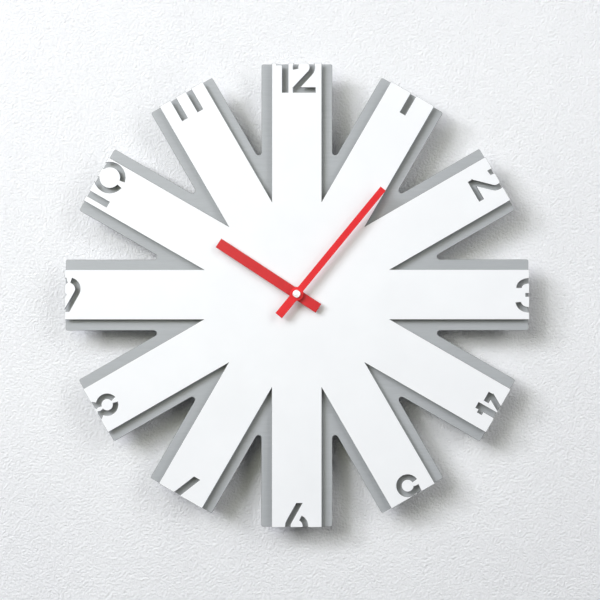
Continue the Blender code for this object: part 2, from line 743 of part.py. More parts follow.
def make_hanger():
    """A flat pattern with its holes, folded back to the wall and up into the ear."""
    sheet = HANGER_REAR + HANGER_SHEET / 2
    rise = CASE_SIDE / 2 + HANGER_RISE_MARGIN
    step = math.hypot(HANGER_STEP_RUN, sheet - HANGER_EAR_DEPTH)
    top = rise + step + HANGER_EAR_HEIGHT
    half = HANGER_WIDTH / 2
    pattern = rounded_rectangle(-half, -HANGER_FOOT, half, top, HANGER_CORNER_RADIUS)
    hook = keyhole((0, rise + step + HOOK_HOLE_HEIGHT))
    mesh = flat_mesh("hanger_plate", [pattern, circle(BUSHING_RADIUS + SEAT_GAP), hook], 0, 0)
    sheet_metal = bmesh.new()
    sheet_metal.from_mesh(mesh)
    for fold in (rise, rise + step):
        everything = sheet_metal.verts[:] + sheet_metal.edges[:] + sheet_metal.faces[:]
        bmesh.ops.bisect_plane(sheet_metal, geom=everything, plane_co=(0, fold, 0), plane_no=(0, 1, 0))
    for vert in sheet_metal.verts:
        length = vert.co.y
        back = min(max(length - rise, 0), step) / step
        ear = max(length - rise - step, 0)
        vert.co.y = min(length, rise) + back * HANGER_STEP_RUN + ear
        vert.co.z = sheet + back * (HANGER_EAR_DEPTH - sheet)
    sheet_metal.to_mesh(mesh)
    sheet_metal.free()
    hanger = piece_of("hanger_plate", mesh, "zinc_steel")
    wall = hanger.modifiers.new("sheet", "SOLIDIFY")
    wall.thickness = HANGER_SHEET
    wall.offset = 0
    wall.use_even_offset = True


def wheel_outline(teeth, module, phase):
    """Tapered teeth of a wheel, with a sharp root between them."""
    radius = teeth * module / 2
    tip = radius + WHEEL_ADDENDUM_SHARE * module
    root = radius - WHEEL_DEDENDUM_SHARE * module
    pitch = math.tau / teeth
    flank = ((root, -1 / 2), (tip, -WHEEL_TIP_SHARE / 2), (tip, WHEEL_TIP_SHARE / 2))
    return tooth_points(teeth, pitch, phase, flank)


def pinion_outline(teeth, module, phase):
    """Leaves of a pinion, with radial flanks and drawn-in tips."""
    radius = teeth * module / 2
    tip = radius + PINION_ADDENDUM_SHARE * module
    root = radius - PINION_DEDENDUM_SHARE * module
    pitch = math.tau / teeth
    flank = (
        (root, -PINION_FLANK_SHARE / 2),
        (radius, -PINION_FLANK_SHARE / 2),
        (tip, -PINION_TIP_SHARE / 2),
        (tip, PINION_TIP_SHARE / 2),
        (radius, PINION_FLANK_SHARE / 2),
        (root, PINION_FLANK_SHARE / 2),
    )
    return tooth_points(teeth, pitch, phase, flank)


def tooth_points(teeth, pitch, phase, flank):
    return [
        (radius * math.cos(phase + pitch * (k + share)), radius * math.sin(phase + pitch * (k + share)))
        for k in range(teeth)
        for radius, share in flank
    ]


def mesh_phase(teeth, phase, other_teeth, direction):
    """Phase that puts a gap of the other gear where this one's tooth points at it."""
    return direction + math.pi + (math.pi - teeth * (phase - direction)) / other_teeth


def make_cannon_pinion():
    """The minute arbor: leaves behind, and the pipe that carries the minute hand."""
    leaves_front = CANNON_LEAVES_REAR + LEAF_LENGTH
    tip = MINUTE_HAND_FRONT + MINUTE_PIPE_PROUD
    profile = [
        (MINUTE_PIPE_BORE, tip),
        (MINUTE_PIPE_RADIUS, tip),
        (MINUTE_PIPE_RADIUS, leaves_front),
        (CANNON_STEM_RADIUS, leaves_front),
        (CANNON_STEM_RADIUS, CENTRE_WHEEL_REAR),
        (MINUTE_PIPE_BORE, CENTRE_WHEEL_REAR),
    ]
    pinion = piece_of("cannon_pinion", turned_mesh("cannon_pinion", profile), "zinc_steel")
    middle = circle((MINUTE_PIPE_BORE + CANNON_STEM_RADIUS) / 2, SMALL_STEPS)
    leaves = [pinion_outline(CANNON_TEETH, CANNON_MODULE, 0), middle]
    fuse_flat(pinion, "cannon_leaves", leaves, CANNON_LEAVES_REAR, leaves_front + FUSE_OVERLAP)


def motion_wheel_phase():
    return mesh_phase(CANNON_TEETH, 0, MOTION_WHEEL_TEETH, MOTION_DIRECTION)


def make_motion_wheel():
    """Wheel driven by the cannon pinion, and the pinion that drives the hour wheel."""
    front = MOTION_WHEEL_REAR + MOTION_WHEEL_SHEET
    teeth = wheel_outline(MOTION_WHEEL_TEETH, CANNON_MODULE, motion_wheel_phase())
    wheel = piece_of(
        "motion_wheel",
        flat_mesh("motion_wheel", [teeth], MOTION_WHEEL_REAR, front),
        "white_nylon",
        MOTION_PLACE,
    )
    leaves = [pinion_outline(MOTION_PINION_TEETH, HOUR_MODULE, 0)]
    leaves_front = front + MOTION_LEAVES_LENGTH
    fuse_flat(wheel, "motion_leaves", leaves, front - FUSE_OVERLAP, leaves_front, MOTION_PLACE)
    rear = BRIDGE_REAR + FUSE_OVERLAP
    tip = COVER_REAR - SEAT_GAP
    fuse_rod(wheel, "motion_arbor", MOTION_ARBOR_RADIUS, rear, tip, MOTION_PLACE, SMALL_STEPS)


def make_hour_wheel():
    """Wheel with the long pipe that carries the hour hand."""
    front = HOUR_WHEEL_REAR + HOUR_WHEEL_SHEET
    phase = mesh_phase(MOTION_PINION_TEETH, 0, HOUR_WHEEL_TEETH, MOTION_DIRECTION + math.pi)
    inner = (HOUR_PIPE_BORE + HOUR_PIPE_RADIUS) / 2
    teeth = [wheel_outline(HOUR_WHEEL_TEETH, HOUR_MODULE, phase), circle(inner)]
    wheel = piece_of("hour_wheel", flat_mesh("hour_wheel", teeth, HOUR_WHEEL_REAR, front), "white_nylon")
    tip = HOUR_HAND_FRONT + HOUR_PIPE_PROUD
    pipe = ring_mesh("hour_pipe", HOUR_PIPE_BORE, HOUR_PIPE_RADIUS, HOUR_WHEEL_REAR - FUSE_OVERLAP, tip)
    shape(wheel, "UNION", "hour_pipe", pipe)


def make_centre_wheel():
    """Wheel held on the cannon pinion's stem by friction."""
    bore = CANNON_STEM_RADIUS + RUNNING_GAP
    front = CENTRE_WHEEL_REAR + WHEEL_SHEET
    phase = mesh_phase(THIRD_PINION_TEETH, 0, CENTRE_WHEEL_TEETH, THIRD_DIRECTION + math.pi)
    inner = (bore + CENTRE_HUB_RADIUS) / 2
    teeth = [wheel_outline(CENTRE_WHEEL_TEETH, CENTRE_MODULE, phase), circle(inner)]
    mesh = flat_mesh("centre_wheel", teeth, CENTRE_WHEEL_REAR, front)
    wheel = piece_of("centre_wheel", mesh, "white_nylon")
    hub_front = front + FUSE_OVERLAP
    hub = ring_mesh("centre_hub", bore, CENTRE_HUB_RADIUS, hub_front - CENTRE_HUB_LENGTH, hub_front)
    shape(wheel, "UNION", "centre_hub", hub)


def train_wheel(name, at, wheel, leaves, rear, arbor):
    """A wheel with its pinion in front of it on one arbor."""
    front = rear + WHEEL_SHEET
    piece = piece_of(name, flat_mesh(name, [wheel], rear, front), "white_nylon", at)
    leaves_front = front + FUSE_OVERLAP + LEAF_LENGTH
    fuse_flat(piece, f"{name}_leaves", [leaves], front - FUSE_OVERLAP, leaves_front, at)
    fuse_rod(piece, f"{name}_arbor", ARBOR_RADIUS, arbor[0], arbor[1], at, SMALL_STEPS)


def make_going_train():
    """Third, seconds and intermediate wheels, and the rotor."""
    rear_pivot = BOSS_FRONT - PIVOT_DEPTH
    bridge_pivot = (rear_pivot, BRIDGE_REAR + BRIDGE_SHEET - SEAT_GAP)
    third_phase = mesh_phase(SECONDS_PINION_TEETH, 0, THIRD_WHEEL_TEETH, THIRD_DIRECTION)
    train_wheel(
        "third_wheel",
        THIRD_PLACE,
        wheel_outline(THIRD_WHEEL_TEETH, THIRD_MODULE, third_phase),
        pinion_outline(THIRD_PINION_TEETH, CENTRE_MODULE, 0),
        THIRD_WHEEL_REAR,
        bridge_pivot,
    )
    behind = INTERMEDIATE_DIRECTION + math.pi
    seconds_phase = mesh_phase(INTERMEDIATE_PINION_TEETH, 0, SECONDS_WHEEL_TEETH, behind)
    train_wheel(
        "seconds_wheel",
        (0, 0),
        wheel_outline(SECONDS_WHEEL_TEETH, SECONDS_MODULE, seconds_phase),
        pinion_outline(SECONDS_PINION_TEETH, THIRD_MODULE, 0),
        SECONDS_WHEEL_REAR,
        (rear_pivot, CANNON_LEAVES_REAR + SECONDS_ARBOR_REACH),
    )
    intermediate_phase = mesh_phase(ROTOR_TEETH, 0, INTERMEDIATE_WHEEL_TEETH, ROTOR_DIRECTION + math.pi)
    train_wheel(
        "intermediate_wheel",
        INTERMEDIATE_PLACE,
        wheel_outline(INTERMEDIATE_WHEEL_TEETH, ROTOR_MODULE, intermediate_phase),
        pinion_outline(INTERMEDIATE_PINION_TEETH, SECONDS_MODULE, 0),
        INTERMEDIATE_WHEEL_REAR,
        bridge_pivot,
    )
    magnet_front = ROTOR_MAGNET_REAR + ROTOR_MAGNET_LENGTH
    magnet = rod_mesh("rotor", ROTOR_MAGNET_RADIUS, ROTOR_MAGNET_REAR, magnet_front)
    rotor = piece_of("rotor", magnet, "magnet", ROTOR_PLACE)
    leaves = [pinion_outline(ROTOR_TEETH, ROTOR_MODULE, 0)]
    leaves_front = ROTOR_LEAVES_REAR + LEAF_LENGTH
    fuse_flat(rotor, "rotor_leaves", leaves, magnet_front - FUSE_OVERLAP, leaves_front, ROTOR_PLACE)
    fuse_rod(rotor, "rotor_arbor", ARBOR_RADIUS, *bridge_pivot, ROTOR_PLACE, SMALL_STEPS)


def chamber_edges():
    """Inside of the movement chamber and of the battery bay: left, low, right, high."""
    inner = CASE_SIDE / 2 - CASE_WALL
    bay_top = BAY_HEIGHT - inner
    return (-inner, bay_top + BAY_WALL, inner, inner), (-inner, -inner, inner, bay_top)


def contact_middle():
    """How far the flat of a contact strip stands from the dial axis."""
    return CASE_SIDE / 2 - CASE_WALL - SEAT_GAP - CONTACT_SHEET / 2


def make_movement_case():
    """Rear moulding: chamber, battery bay, pillars, bosses and the knob's cup."""
    half = CASE_SIDE / 2
    outline = rounded_rectangle(-half, -half, half, half, CASE_CORNER_RADIUS)
    case = piece_of("movement_case", flat_mesh("movement_case", [outline], 0, CASE_DEPTH), "black_moulding")
    chamber, bay = chamber_edges()
    over = CASE_DEPTH + CUT_OVERRUN
    cut_flat(case, "chamber", [rectangle(*chamber)], CASE_REAR_WALL, over)
    cut_flat(case, "battery_bay", [rectangle(*bay)], -CUT_OVERRUN, over)
    foot = CASE_REAR_WALL - FUSE_OVERLAP
    pocket_floor = KNOB_SINK + KNOB_THICKNESS + SEAT_GAP
    cup_front = pocket_floor + KNOB_CUP_WALL
    cup = KNOB_RADIUS + KNOB_CUP_CLEARANCE + KNOB_CUP_WALL
    fuse_rod(case, "knob_cup", cup, foot, cup_front, SETTING_PLACE)
    for index, at in enumerate(PILLAR_PLACES):
        fuse_rod(case, f"pillar_{index}", PILLAR_RADIUS, foot, BRIDGE_REAR - SEAT_GAP, at, SMALL_STEPS)
    for index, at in enumerate(board_post_places()):
        fuse_rod(case, f"board_post_{index}", BOARD_POST_RADIUS, foot, BOARD_REAR - SEAT_GAP, at, SMALL_STEPS)
    for index, at in enumerate(rear_pivot_places()):
        fuse_rod(case, f"boss_{index}", BOSS_RADIUS, foot, BOSS_FRONT, at, SMALL_STEPS)
    add_clip_lugs(case)
    cut_rod(case, "knob_pocket", KNOB_RADIUS + KNOB_CUP_CLEARANCE, -CUT_OVERRUN, pocket_floor, SETTING_PLACE)
    hole = SETTING_ARBOR_RADIUS + RUNNING_GAP
    cut_rod(case, "knob_hole", hole, pocket_floor - CUT_OVERRUN, cup_front + CUT_OVERRUN, SETTING_PLACE)
    cut_pivot_holes(case)
    cut_contact_slits(case, chamber, bay)
    cut_marks(case)


def rear_pivot_places():
    return THIRD_PLACE, (0, 0), INTERMEDIATE_PLACE, ROTOR_PLACE


def cut_pivot_holes(case):
    """Blind holes for the arbors' rear ends."""
    floor = BOSS_FRONT - PIVOT_DEPTH - RUNNING_GAP
    for index, at in enumerate(rear_pivot_places()):
        hole = ARBOR_RADIUS + RUNNING_GAP
        cut_rod(case, f"pivot_hole_{index}", hole, floor, BOSS_FRONT + CUT_OVERRUN, at, SMALL_STEPS)


def cut_contact_slits(case, chamber, bay):
    """Slits in the bay's wall that the contact strips pass through."""
    reach = CONTACT_SHEET / 2 + SEAT_GAP
    for side, name in ((-1, "negative_slit"), (1, "positive_slit")):
        middle = side * contact_middle()
        slit = rectangle(middle - reach, bay[3] - CUT_OVERRUN, middle + reach, chamber[1] + CUT_OVERRUN)
        cut_flat(case, name, [slit], CONTACT_REAR - SEAT_GAP, CONTACT_REAR + CONTACT_WIDTH + SEAT_GAP)


def turn_mark():
    """A curved arrow above the knob, pointed at both ends."""
    half = MARK_WIDTH / 2
    low = math.pi / 2 - TURN_MARK_SPREAD
    high = math.pi / 2 + TURN_MARK_SPREAD
    head = TURN_MARK_HEAD / TURN_MARK_RADIUS
    points = arc_points(SETTING_PLACE, TURN_MARK_RADIUS + half, low, high, CORNER_STEPS)
    points += mark_head(high, head)
    points += arc_points(SETTING_PLACE, TURN_MARK_RADIUS - half, high, low, CORNER_STEPS)
    return points + mark_head(low, -head)[::-1]


def mark_head(angle, head):
    """Outer corner, point and inner corner of an arrow's head."""
    wide = TURN_MARK_HEAD / 2
    corners = ((wide, 0), (0, head), (-wide, 0))
    return [
        (
            SETTING_PLACE[0] + (TURN_MARK_RADIUS + reach) * math.cos(angle + turn),
            SETTING_PLACE[1] + (TURN_MARK_RADIUS + reach) * math.sin(angle + turn),
        )
        for reach, turn in corners
    ]


def cut_marks(case):
    """Plus and minus by the cell's ends, and the knob's arrow."""
    half = MARK_WIDTH / 2
    reach = MARK_LENGTH / 2
    level = rectangle(-reach, -half, reach, half)
    cross = [
        (half, half),
        (half, reach),
        (-half, reach),
        (-half, half),
        (-reach, half),
        (-reach, -half),
        (-half, -half),
        (-half, -reach),
        (half, -reach),
        (half, -half),
        (reach, -half),
        (reach, half),
    ]
    marks = (
        ("minus_mark", shifted(level, -MARK_PLACE[0], MARK_PLACE[1])),
        ("plus_mark", shifted(cross, *MARK_PLACE)),
        ("turn_mark", turn_mark()),
    )
    for name, outline in marks:
        cut_flat(case, name, [outline], -CUT_OVERRUN, MARK_DEPTH)


def clip_middles():
    return [(side, height) for side in (-1, 1) for height in (-CLIP_HEIGHT, CLIP_HEIGHT)]


def clip_window():
    """Width and depths of the window that a case lug snaps into."""
    rear = COVER_REAR - CLIP_LENGTH + CLIP_WINDOW_MARGIN
    front = COVER_REAR - 2 * CLIP_WINDOW_MARGIN
    return CLIP_WIDTH - 2 * CLIP_WINDOW_MARGIN, rear, front


def side_block(side, near, far, height, width):
    """A rectangle on the left or right of the housing, between two distances from the middle."""
    edges = sorted((side * near, side * far))
    return rectangle(edges[0], height - width / 2, edges[1], height + width / 2)


def add_clip_lugs(case):
    """Lugs on the case's sides that hold the cover's clips."""
    width, rear, front = clip_window()
    half = CASE_SIDE / 2
    for index, (side, height) in enumerate(clip_middles()):
        lug = side_block(side, half - FUSE_OVERLAP, half + CLIP_LUG_THICKNESS, height, width - 2 * SEAT_GAP)
        fuse_flat(case, f"clip_lug_{index}", [lug], rear + SEAT_GAP, front - SEAT_GAP)


def make_movement_cover():
    """Front moulding with snap clips and the bosses of two arbors."""
    half = CASE_SIDE / 2
    outline = rounded_rectangle(-half, -half, half, half, CASE_CORNER_RADIUS)
    loops = [outline, circle(BUSHING_RADIUS + SEAT_GAP)]
    mesh = flat_mesh("movement_cover", loops, COVER_REAR, COVER_FRONT)
    cover = piece_of("movement_cover", mesh, "black_moulding")
    outer = half + SEAT_GAP + CLIP_SHEET
    for index, (side, height) in enumerate(clip_middles()):
        tongue = side_block(side, half + SEAT_GAP, outer, height, CLIP_WIDTH)
        fuse_flat(cover, f"clip_{index}", [tongue], COVER_REAR - CLIP_LENGTH, COVER_FRONT - FUSE_OVERLAP)
        root = side_block(side, half - CLIP_SHEET, outer - FUSE_OVERLAP, height, CLIP_WIDTH - FUSE_OVERLAP)
        root_front = COVER_FRONT - 2 * FUSE_OVERLAP
        fuse_flat(cover, f"clip_root_{index}", [root], COVER_REAR + FUSE_OVERLAP, root_front)
    bosses = (
        ("motion_boss", MOTION_PLACE, COVER_BOSS_RADIUS, COVER_BOSS_LENGTH, MOTION_ARBOR_RADIUS),
        ("setting_boss", SETTING_PLACE, SETTING_BOSS_RADIUS, SETTING_BOSS_LENGTH, SETTING_ARBOR_RADIUS),
    )
    for name, at, radius, length, arbor in bosses:
        fuse_rod(cover, name, radius, COVER_REAR - length, COVER_REAR + FUSE_OVERLAP, at)
    width, rear, front = clip_window()
    for index, (side, height) in enumerate(clip_middles()):
        window = side_block(side, half, outer + CUT_OVERRUN, height, width)
        cut_flat(cover, f"clip_window_{index}", [window], rear, front)
    for name, at, radius, length, arbor in bosses:
        start = COVER_REAR - length - CUT_OVERRUN
        cut_rod(cover, f"{name}_hole", arbor + RUNNING_GAP, start, COVER_REAR, at, SMALL_STEPS)


def make_train_bridge():
    """Middle plate on the pillars, with the arbors' front pivot holes."""
    corner = PILLAR_RADIUS + SEAT_GAP
    low = min(place[1] for place in PILLAR_PLACES) - corner
    high = max(place[1] for place in PILLAR_PLACES) + corner
    left = min(place[0] for place in PILLAR_PLACES) - corner
    right = max(place[0] for place in PILLAR_PLACES) + corner
    shoulder = PILLAR_PLACES[1][0] - corner
    outline = [(left, low), (right, low), (right, high), (shoulder, high), (left, THIRD_PLACE[1])]
    loops = [outline, circle(CANNON_STEM_RADIUS + RUNNING_GAP, SMALL_STEPS)]
    for at in (THIRD_PLACE, INTERMEDIATE_PLACE, ROTOR_PLACE):
        loops.append(circle(ARBOR_RADIUS + RUNNING_GAP, SMALL_STEPS, at))
    loops.append(circle(MOTION_ARBOR_RADIUS + RUNNING_GAP, SMALL_STEPS, MOTION_PLACE))
    mesh = flat_mesh("train_bridge", loops, BRIDGE_REAR, BRIDGE_REAR + BRIDGE_SHEET)
    piece_of("train_bridge", mesh, "black_moulding")


def make_bushing():
    """Threaded tube with the flange that holds it behind the cover."""
    flange_front = COVER_REAR - SEAT_GAP
    profile = [
        (BUSHING_BORE, NUT_FRONT),
        (BUSHING_RADIUS, NUT_FRONT),
        (BUSHING_RADIUS, flange_front),
        (BUSHING_FLANGE_RADIUS, flange_front),
        (BUSHING_FLANGE_RADIUS, flange_front - BUSHING_FLANGE_THICKNESS),
        (BUSHING_BORE, flange_front - BUSHING_FLANGE_THICKNESS),
    ]
    piece_of("shaft_bushing", turned_mesh("shaft_bushing", profile), "brass")


def make_shaft_nut():
    loops = [hexagon(NUT_ACROSS_FLATS), circle(BUSHING_RADIUS + SEAT_GAP)]
    piece_of("shaft_nut", flat_mesh("shaft_nut", loops, NUT_REAR, NUT_FRONT), "brass")


def make_rubber_washer():
    mesh = ring_mesh("rubber_washer", BUSHING_RADIUS + SEAT_GAP, RUBBER_RADIUS, RUBBER_REAR, RUBBER_FRONT)
    piece_of("rubber_washer", mesh, "black_rubber")


def make_setting_knob():
    """Ribbed knob, long arbor and the pinion that turns the motion wheel."""
    rear = KNOB_SINK
    front = rear + KNOB_THICKNESS
    ribs = []
    for k in range(KNOB_RIBS):
        for radius, share in ((KNOB_RADIUS, 0), (KNOB_RADIUS, 1 / 2), (KNOB_RADIUS - KNOB_RIB_DEPTH, 3 / 4)):
            angle = math.tau * (k + share) / KNOB_RIBS
            ribs.append((radius * math.cos(angle), radius * math.sin(angle)))
    mesh = flat_mesh("setting_knob", [ribs], rear, front)
    knob = piece_of("setting_knob", mesh, "black_moulding", SETTING_PLACE)
    tip = COVER_REAR - SEAT_GAP
    fuse_rod(knob, "setting_arbor", SETTING_ARBOR_RADIUS, front - FUSE_OVERLAP, tip, SETTING_PLACE)
    phase = mesh_phase(MOTION_WHEEL_TEETH, motion_wheel_phase(), SETTING_TEETH, MOTION_DIRECTION)
    leaves = [pinion_outline(SETTING_TEETH, CANNON_MODULE, phase)]
    leaves_front = CANNON_LEAVES_REAR + LEAF_LENGTH
    fuse_flat(knob, "setting_leaves", leaves, CANNON_LEAVES_REAR, leaves_front, SETTING_PLACE)


def make_stator():
    """Iron yoke round the rotor, with two legs up to the coil's core."""
    half = STATOR_LEG_WIDTH / 2
    top = COIL_HEIGHT + half
    left = STATOR_LEFT_LEG
    right = STATOR_RIGHT_LEG
    yoke = [
        (left - half, STATOR_FOOT_HEIGHT),
        (right + half, STATOR_FOOT_HEIGHT),
        (right + half, top),
        (right - half, top),
        (right - half, STATOR_YOKE_HEIGHT),
        (left + half, STATOR_YOKE_HEIGHT),
        (left + half, top),
        (left - half, top),
    ]
    front = STATOR_REAR + STATOR_SHEET
    stator = piece_of("stator", flat_mesh("stator", [yoke], STATOR_REAR, front), "zinc_steel")
    fuse_rod(stator, "stator_ring", STATOR_RING_RADIUS, STATOR_REAR, front, ROTOR_PLACE)
    bore = ROTOR_MAGNET_RADIUS + STATOR_BORE_GAP
    cut_rod(stator, "stator_bore", bore, STATOR_REAR - CUT_OVERRUN, front + CUT_OVERRUN, ROTOR_PLACE)


def lay_down(mesh, at, depth):
    """Turn a round solid from the dial axis to lie along x at a height and depth."""
    solid = bmesh.new()
    solid.from_mesh(mesh)
    for vert in solid.verts:
        x, y, z = vert.co
        vert.co = (at[0] + z, at[1] + y, depth - x)
    solid.to_mesh(mesh)
    solid.free()
    return mesh


def make_coil():
    """Iron core across the stator's legs, and the wound bobbin round it."""
    half = STATOR_LEG_WIDTH / 2
    rear = STATOR_REAR + STATOR_SHEET + SEAT_GAP
    core = rectangle(STATOR_LEFT_LEG - half, COIL_HEIGHT - half, STATOR_RIGHT_LEG + half, COIL_HEIGHT + half)
    piece_of("coil_core", flat_mesh("coil_core", [core], rear, rear + CORE_THICKNESS), "zinc_steel")
    length = STATOR_RIGHT_LEG - STATOR_LEFT_LEG - STATOR_LEG_WIDTH - 2 * SEAT_GAP
    flange = COIL_FLANGE_THICKNESS
    profile = [
        (0, length / 2),
        (COIL_FLANGE_RADIUS, length / 2),
        (COIL_FLANGE_RADIUS, length / 2 - flange),
        (COIL_RADIUS, length / 2 - flange),
        (COIL_RADIUS, flange - length / 2),
        (COIL_FLANGE_RADIUS, flange - length / 2),
        (COIL_FLANGE_RADIUS, -length / 2),
        (0, -length / 2),
    ]
    middle = ((STATOR_LEFT_LEG + STATOR_RIGHT_LEG) / 2, COIL_HEIGHT)
    depth = rear + CORE_THICKNESS / 2
    coil = piece_of("coil", lay_down(turned_mesh("coil", profile), middle, depth), "copper_wire")
    reach = half + SEAT_GAP
    bore = rectangle(-length / 2 - CUT_OVERRUN, -reach, length / 2 + CUT_OVERRUN, reach)
    tunnel = [rear - SEAT_GAP, rear + CORE_THICKNESS + SEAT_GAP]
    cut_flat(coil, "coil_tunnel", [shifted(bore, *middle)], *tunnel)


def board_post_places():
    inset = BOARD_POST_INSET
    return ((BOARD_LEFT + inset, BOARD_HIGH - inset), (BOARD_RIGHT - inset, BOARD_LOW + inset))


def make_circuit_board():
    """Board with the quartz can and the driver chip under its resin drop."""
    outline = rectangle(BOARD_LEFT, BOARD_LOW, BOARD_RIGHT, BOARD_HIGH)
    front = BOARD_REAR + BOARD_THICKNESS
    piece_of("circuit_board", flat_mesh("circuit_board", [outline], BOARD_REAR, front), "board")
    can = rod_mesh("quartz_can", QUARTZ_RADIUS, -QUARTZ_LENGTH / 2, QUARTZ_LENGTH / 2, SMALL_STEPS)
    depth = front + SEAT_GAP + QUARTZ_RADIUS
    piece_of("quartz_can", lay_down(can, QUARTZ_PLACE, depth), "polished_nickel")
    rear = front + SEAT_GAP
    angles = [math.pi / 2 * k / CORNER_STEPS for k in range(CORNER_STEPS + 1)]
    profile = [(CHIP_RADIUS * math.sin(angle), rear + CHIP_HEIGHT * math.cos(angle)) for angle in angles]
    drop = turned_mesh("driver_chip", profile + [(0, rear)], SMALL_STEPS)
    piece_of("driver_chip", drop, "resin", CHIP_PLACE)


def strip_piece(name, path):
    """A bent strip: a path on the dial, standing on edge, given its sheet thickness."""
    strip = bmesh.new()
    depths = (CONTACT_REAR, CONTACT_REAR + CONTACT_WIDTH)
    rows = [[strip.verts.new((x, y, depth)) for x, y in path] for depth in depths]
    for k in range(len(path) - 1):
        strip.faces.new((rows[0][k], rows[0][k + 1], rows[1][k + 1], rows[1][k]))
    mesh = bpy.data.meshes.new(name)
    strip.to_mesh(mesh)
    strip.free()
    piece = piece_of(name, mesh, "polished_nickel")
    sheet = piece.modifiers.new("sheet", "SOLIDIFY")
    sheet.thickness = CONTACT_SHEET
    sheet.offset = 0
    sheet.use_even_offset = True
    return piece


def cell_height():
    bay = chamber_edges()[1]
    return (bay[1] + bay[3]) / 2


def make_contacts():
    """Strips from the bay's ends along the walls to the board."""
    wall = contact_middle()
    bay = chamber_edges()[1]
    low = bay[1] + CONTACT_WIDTH / 2
    middle = cell_height()
    spring = wall - CONTACT_SPRING_RISE
    negative = [
        (-wall, low),
        (-wall, middle - CONTACT_SPRING_REACH),
        (-spring, middle),
        (-wall, middle + CONTACT_SPRING_REACH),
        (-wall, BOARD_LOW + CONTACT_WIDTH),
    ]
    strip_piece("contact_negative", negative)
    positive = [(wall, low), (wall, wall), (BOARD_LEFT + CONTACT_WIDTH, wall)]
    strip_piece("contact_positive", positive)


def make_battery_cell():
    """AA cell, button end to the right."""
    depth = CELL_RADIUS + KNOB_SINK
    start = -contact_middle() + CONTACT_SPRING_RISE + CONTACT_SHEET / 2 + SEAT_GAP
    edge = CELL_EDGE_RADIUS
    shoulder = CELL_LENGTH - CELL_BUTTON_LENGTH
    profile = [
        (0, CELL_LENGTH),
        (CELL_BUTTON_RADIUS, CELL_LENGTH),
        (CELL_BUTTON_RADIUS, shoulder),
        (CELL_RADIUS - edge, shoulder),
        (CELL_RADIUS, shoulder - edge),
        (CELL_RADIUS, edge),
        (CELL_RADIUS - edge, 0),
        (0, 0),
    ]
    mesh = lay_down(turned_mesh("battery_cell", profile, FINE_STEPS), (start, cell_height()), depth)
    return piece_of("battery_cell", mesh, "cell_jacket")


def hand_turns():
    """Clockwise angles of the hour and minute hands at the time shown."""
    minute = math.tau * MINUTES_SHOWN / MINUTES_PER_HOUR
    return minute / HOURS_PER_TURN, minute % math.tau


def make_hour_hand():
    """Straight bar with a tail, and the bush behind it."""
    turn = hand_turns()[0]
    half = HOUR_HAND_WIDTH / 2
    bar = rectangle(-half, -HOUR_HAND_TAIL, half, HOUR_HAND_LENGTH)
    loops = [bar, circle(HOUR_PIPE_RADIUS + SEAT_GAP)]
    mesh = flat_mesh("hour_hand", loops, HOUR_HAND_REAR, HOUR_HAND_FRONT)
    piece_of("hour_hand", mesh, "dark_red_lacquer", turn=turn)
    bore = HOUR_PIPE_RADIUS + SEAT_GAP
    front = HOUR_HAND_REAR - SEAT_GAP
    collet = ring_mesh("hour_hand_collet", bore, bore + COLLET_WALL, front - HOUR_COLLET_HEIGHT, front)
    piece_of("hour_hand_collet", collet, "brass", turn=turn)


def make_minute_hand():
    """Narrow bar, round eye and wider tail, and the bush behind it."""
    turn = hand_turns()[1]
    half = MINUTE_HAND_WIDTH / 2
    tail = MINUTE_TAIL_WIDTH / 2
    eye = MINUTE_EYE_RADIUS
    front_meet = math.asin(half / eye)
    tail_meet = math.asin(tail / eye)
    right = arc_points((0, 0), eye, math.pi / 2 - front_meet, tail_meet - math.pi / 2, ROUND_STEPS // 2)
    left = [(-x, y) for x, y in reversed(right)]
    outline = [(-half, MINUTE_HAND_LENGTH), (half, MINUTE_HAND_LENGTH)] + right
    outline += [(tail, -MINUTE_HAND_TAIL), (-tail, -MINUTE_HAND_TAIL)] + left
    bore = MINUTE_PIPE_RADIUS + SEAT_GAP
    mesh = flat_mesh("minute_hand", [outline, circle(bore)], MINUTE_HAND_REAR, MINUTE_HAND_FRONT)
    piece_of("minute_hand", mesh, "red_lacquer", turn=turn)
    front = MINUTE_HAND_REAR - SEAT_GAP
    collet = ring_mesh("minute_hand_collet", bore, bore + COLLET_WALL, front - MINUTE_COLLET_HEIGHT, front)
    piece_of("minute_hand_collet", collet, "brass", turn=turn)


def make_cap_nut():
    """Domed nut, open behind for the minute pipe's end."""
    bore = MINUTE_PIPE_RADIUS + SEAT_GAP
    rim = CAP_REAR + CAP_RIM_HEIGHT
    dome = CAP_HEIGHT - CAP_RIM_HEIGHT
    steps = 2 * CORNER_STEPS
    profile = [
        (CAP_RADIUS * math.sin(math.pi / 2 * k / steps), rim + dome * math.cos(math.pi / 2 * k / steps))
        for k in range(steps + 1)
    ]
    profile += [(CAP_RADIUS, CAP_REAR), (bore, CAP_REAR)]
    roof = CAP_REAR + CAP_HEIGHT - CAP_ROOF
    profile += [(bore, roof), (0, roof)]
    piece_of("cap_nut", turned_mesh("cap_nut", profile), "polished_nickel")


clear_scene()
PARTS = new_collection("stencil_wall_clock")
CUTTERS = new_collection("cutters")
DIAL_FRAME = bpy.data.objects.new("dial_frame", None)
PARTS.objects.link(DIAL_FRAME)
DIAL_FRAME.rotation_euler = (math.pi / 2, 0, 0)

make_front_plate()
make_back_plate()
make_studs()
make_hanger()
make_rubber_washer()
make_shaft_nut()
make_bushing()
make_movement_case()
make_movement_cover()
make_train_bridge()
make_cannon_pinion()
make_motion_wheel()
make_hour_wheel()
make_centre_wheel()
make_going_train()
make_setting_knob()
make_stator()
make_coil()
make_circuit_board()
make_contacts()
make_battery_cell()
make_hour_hand()
make_minute_hand()
make_cap_nut()
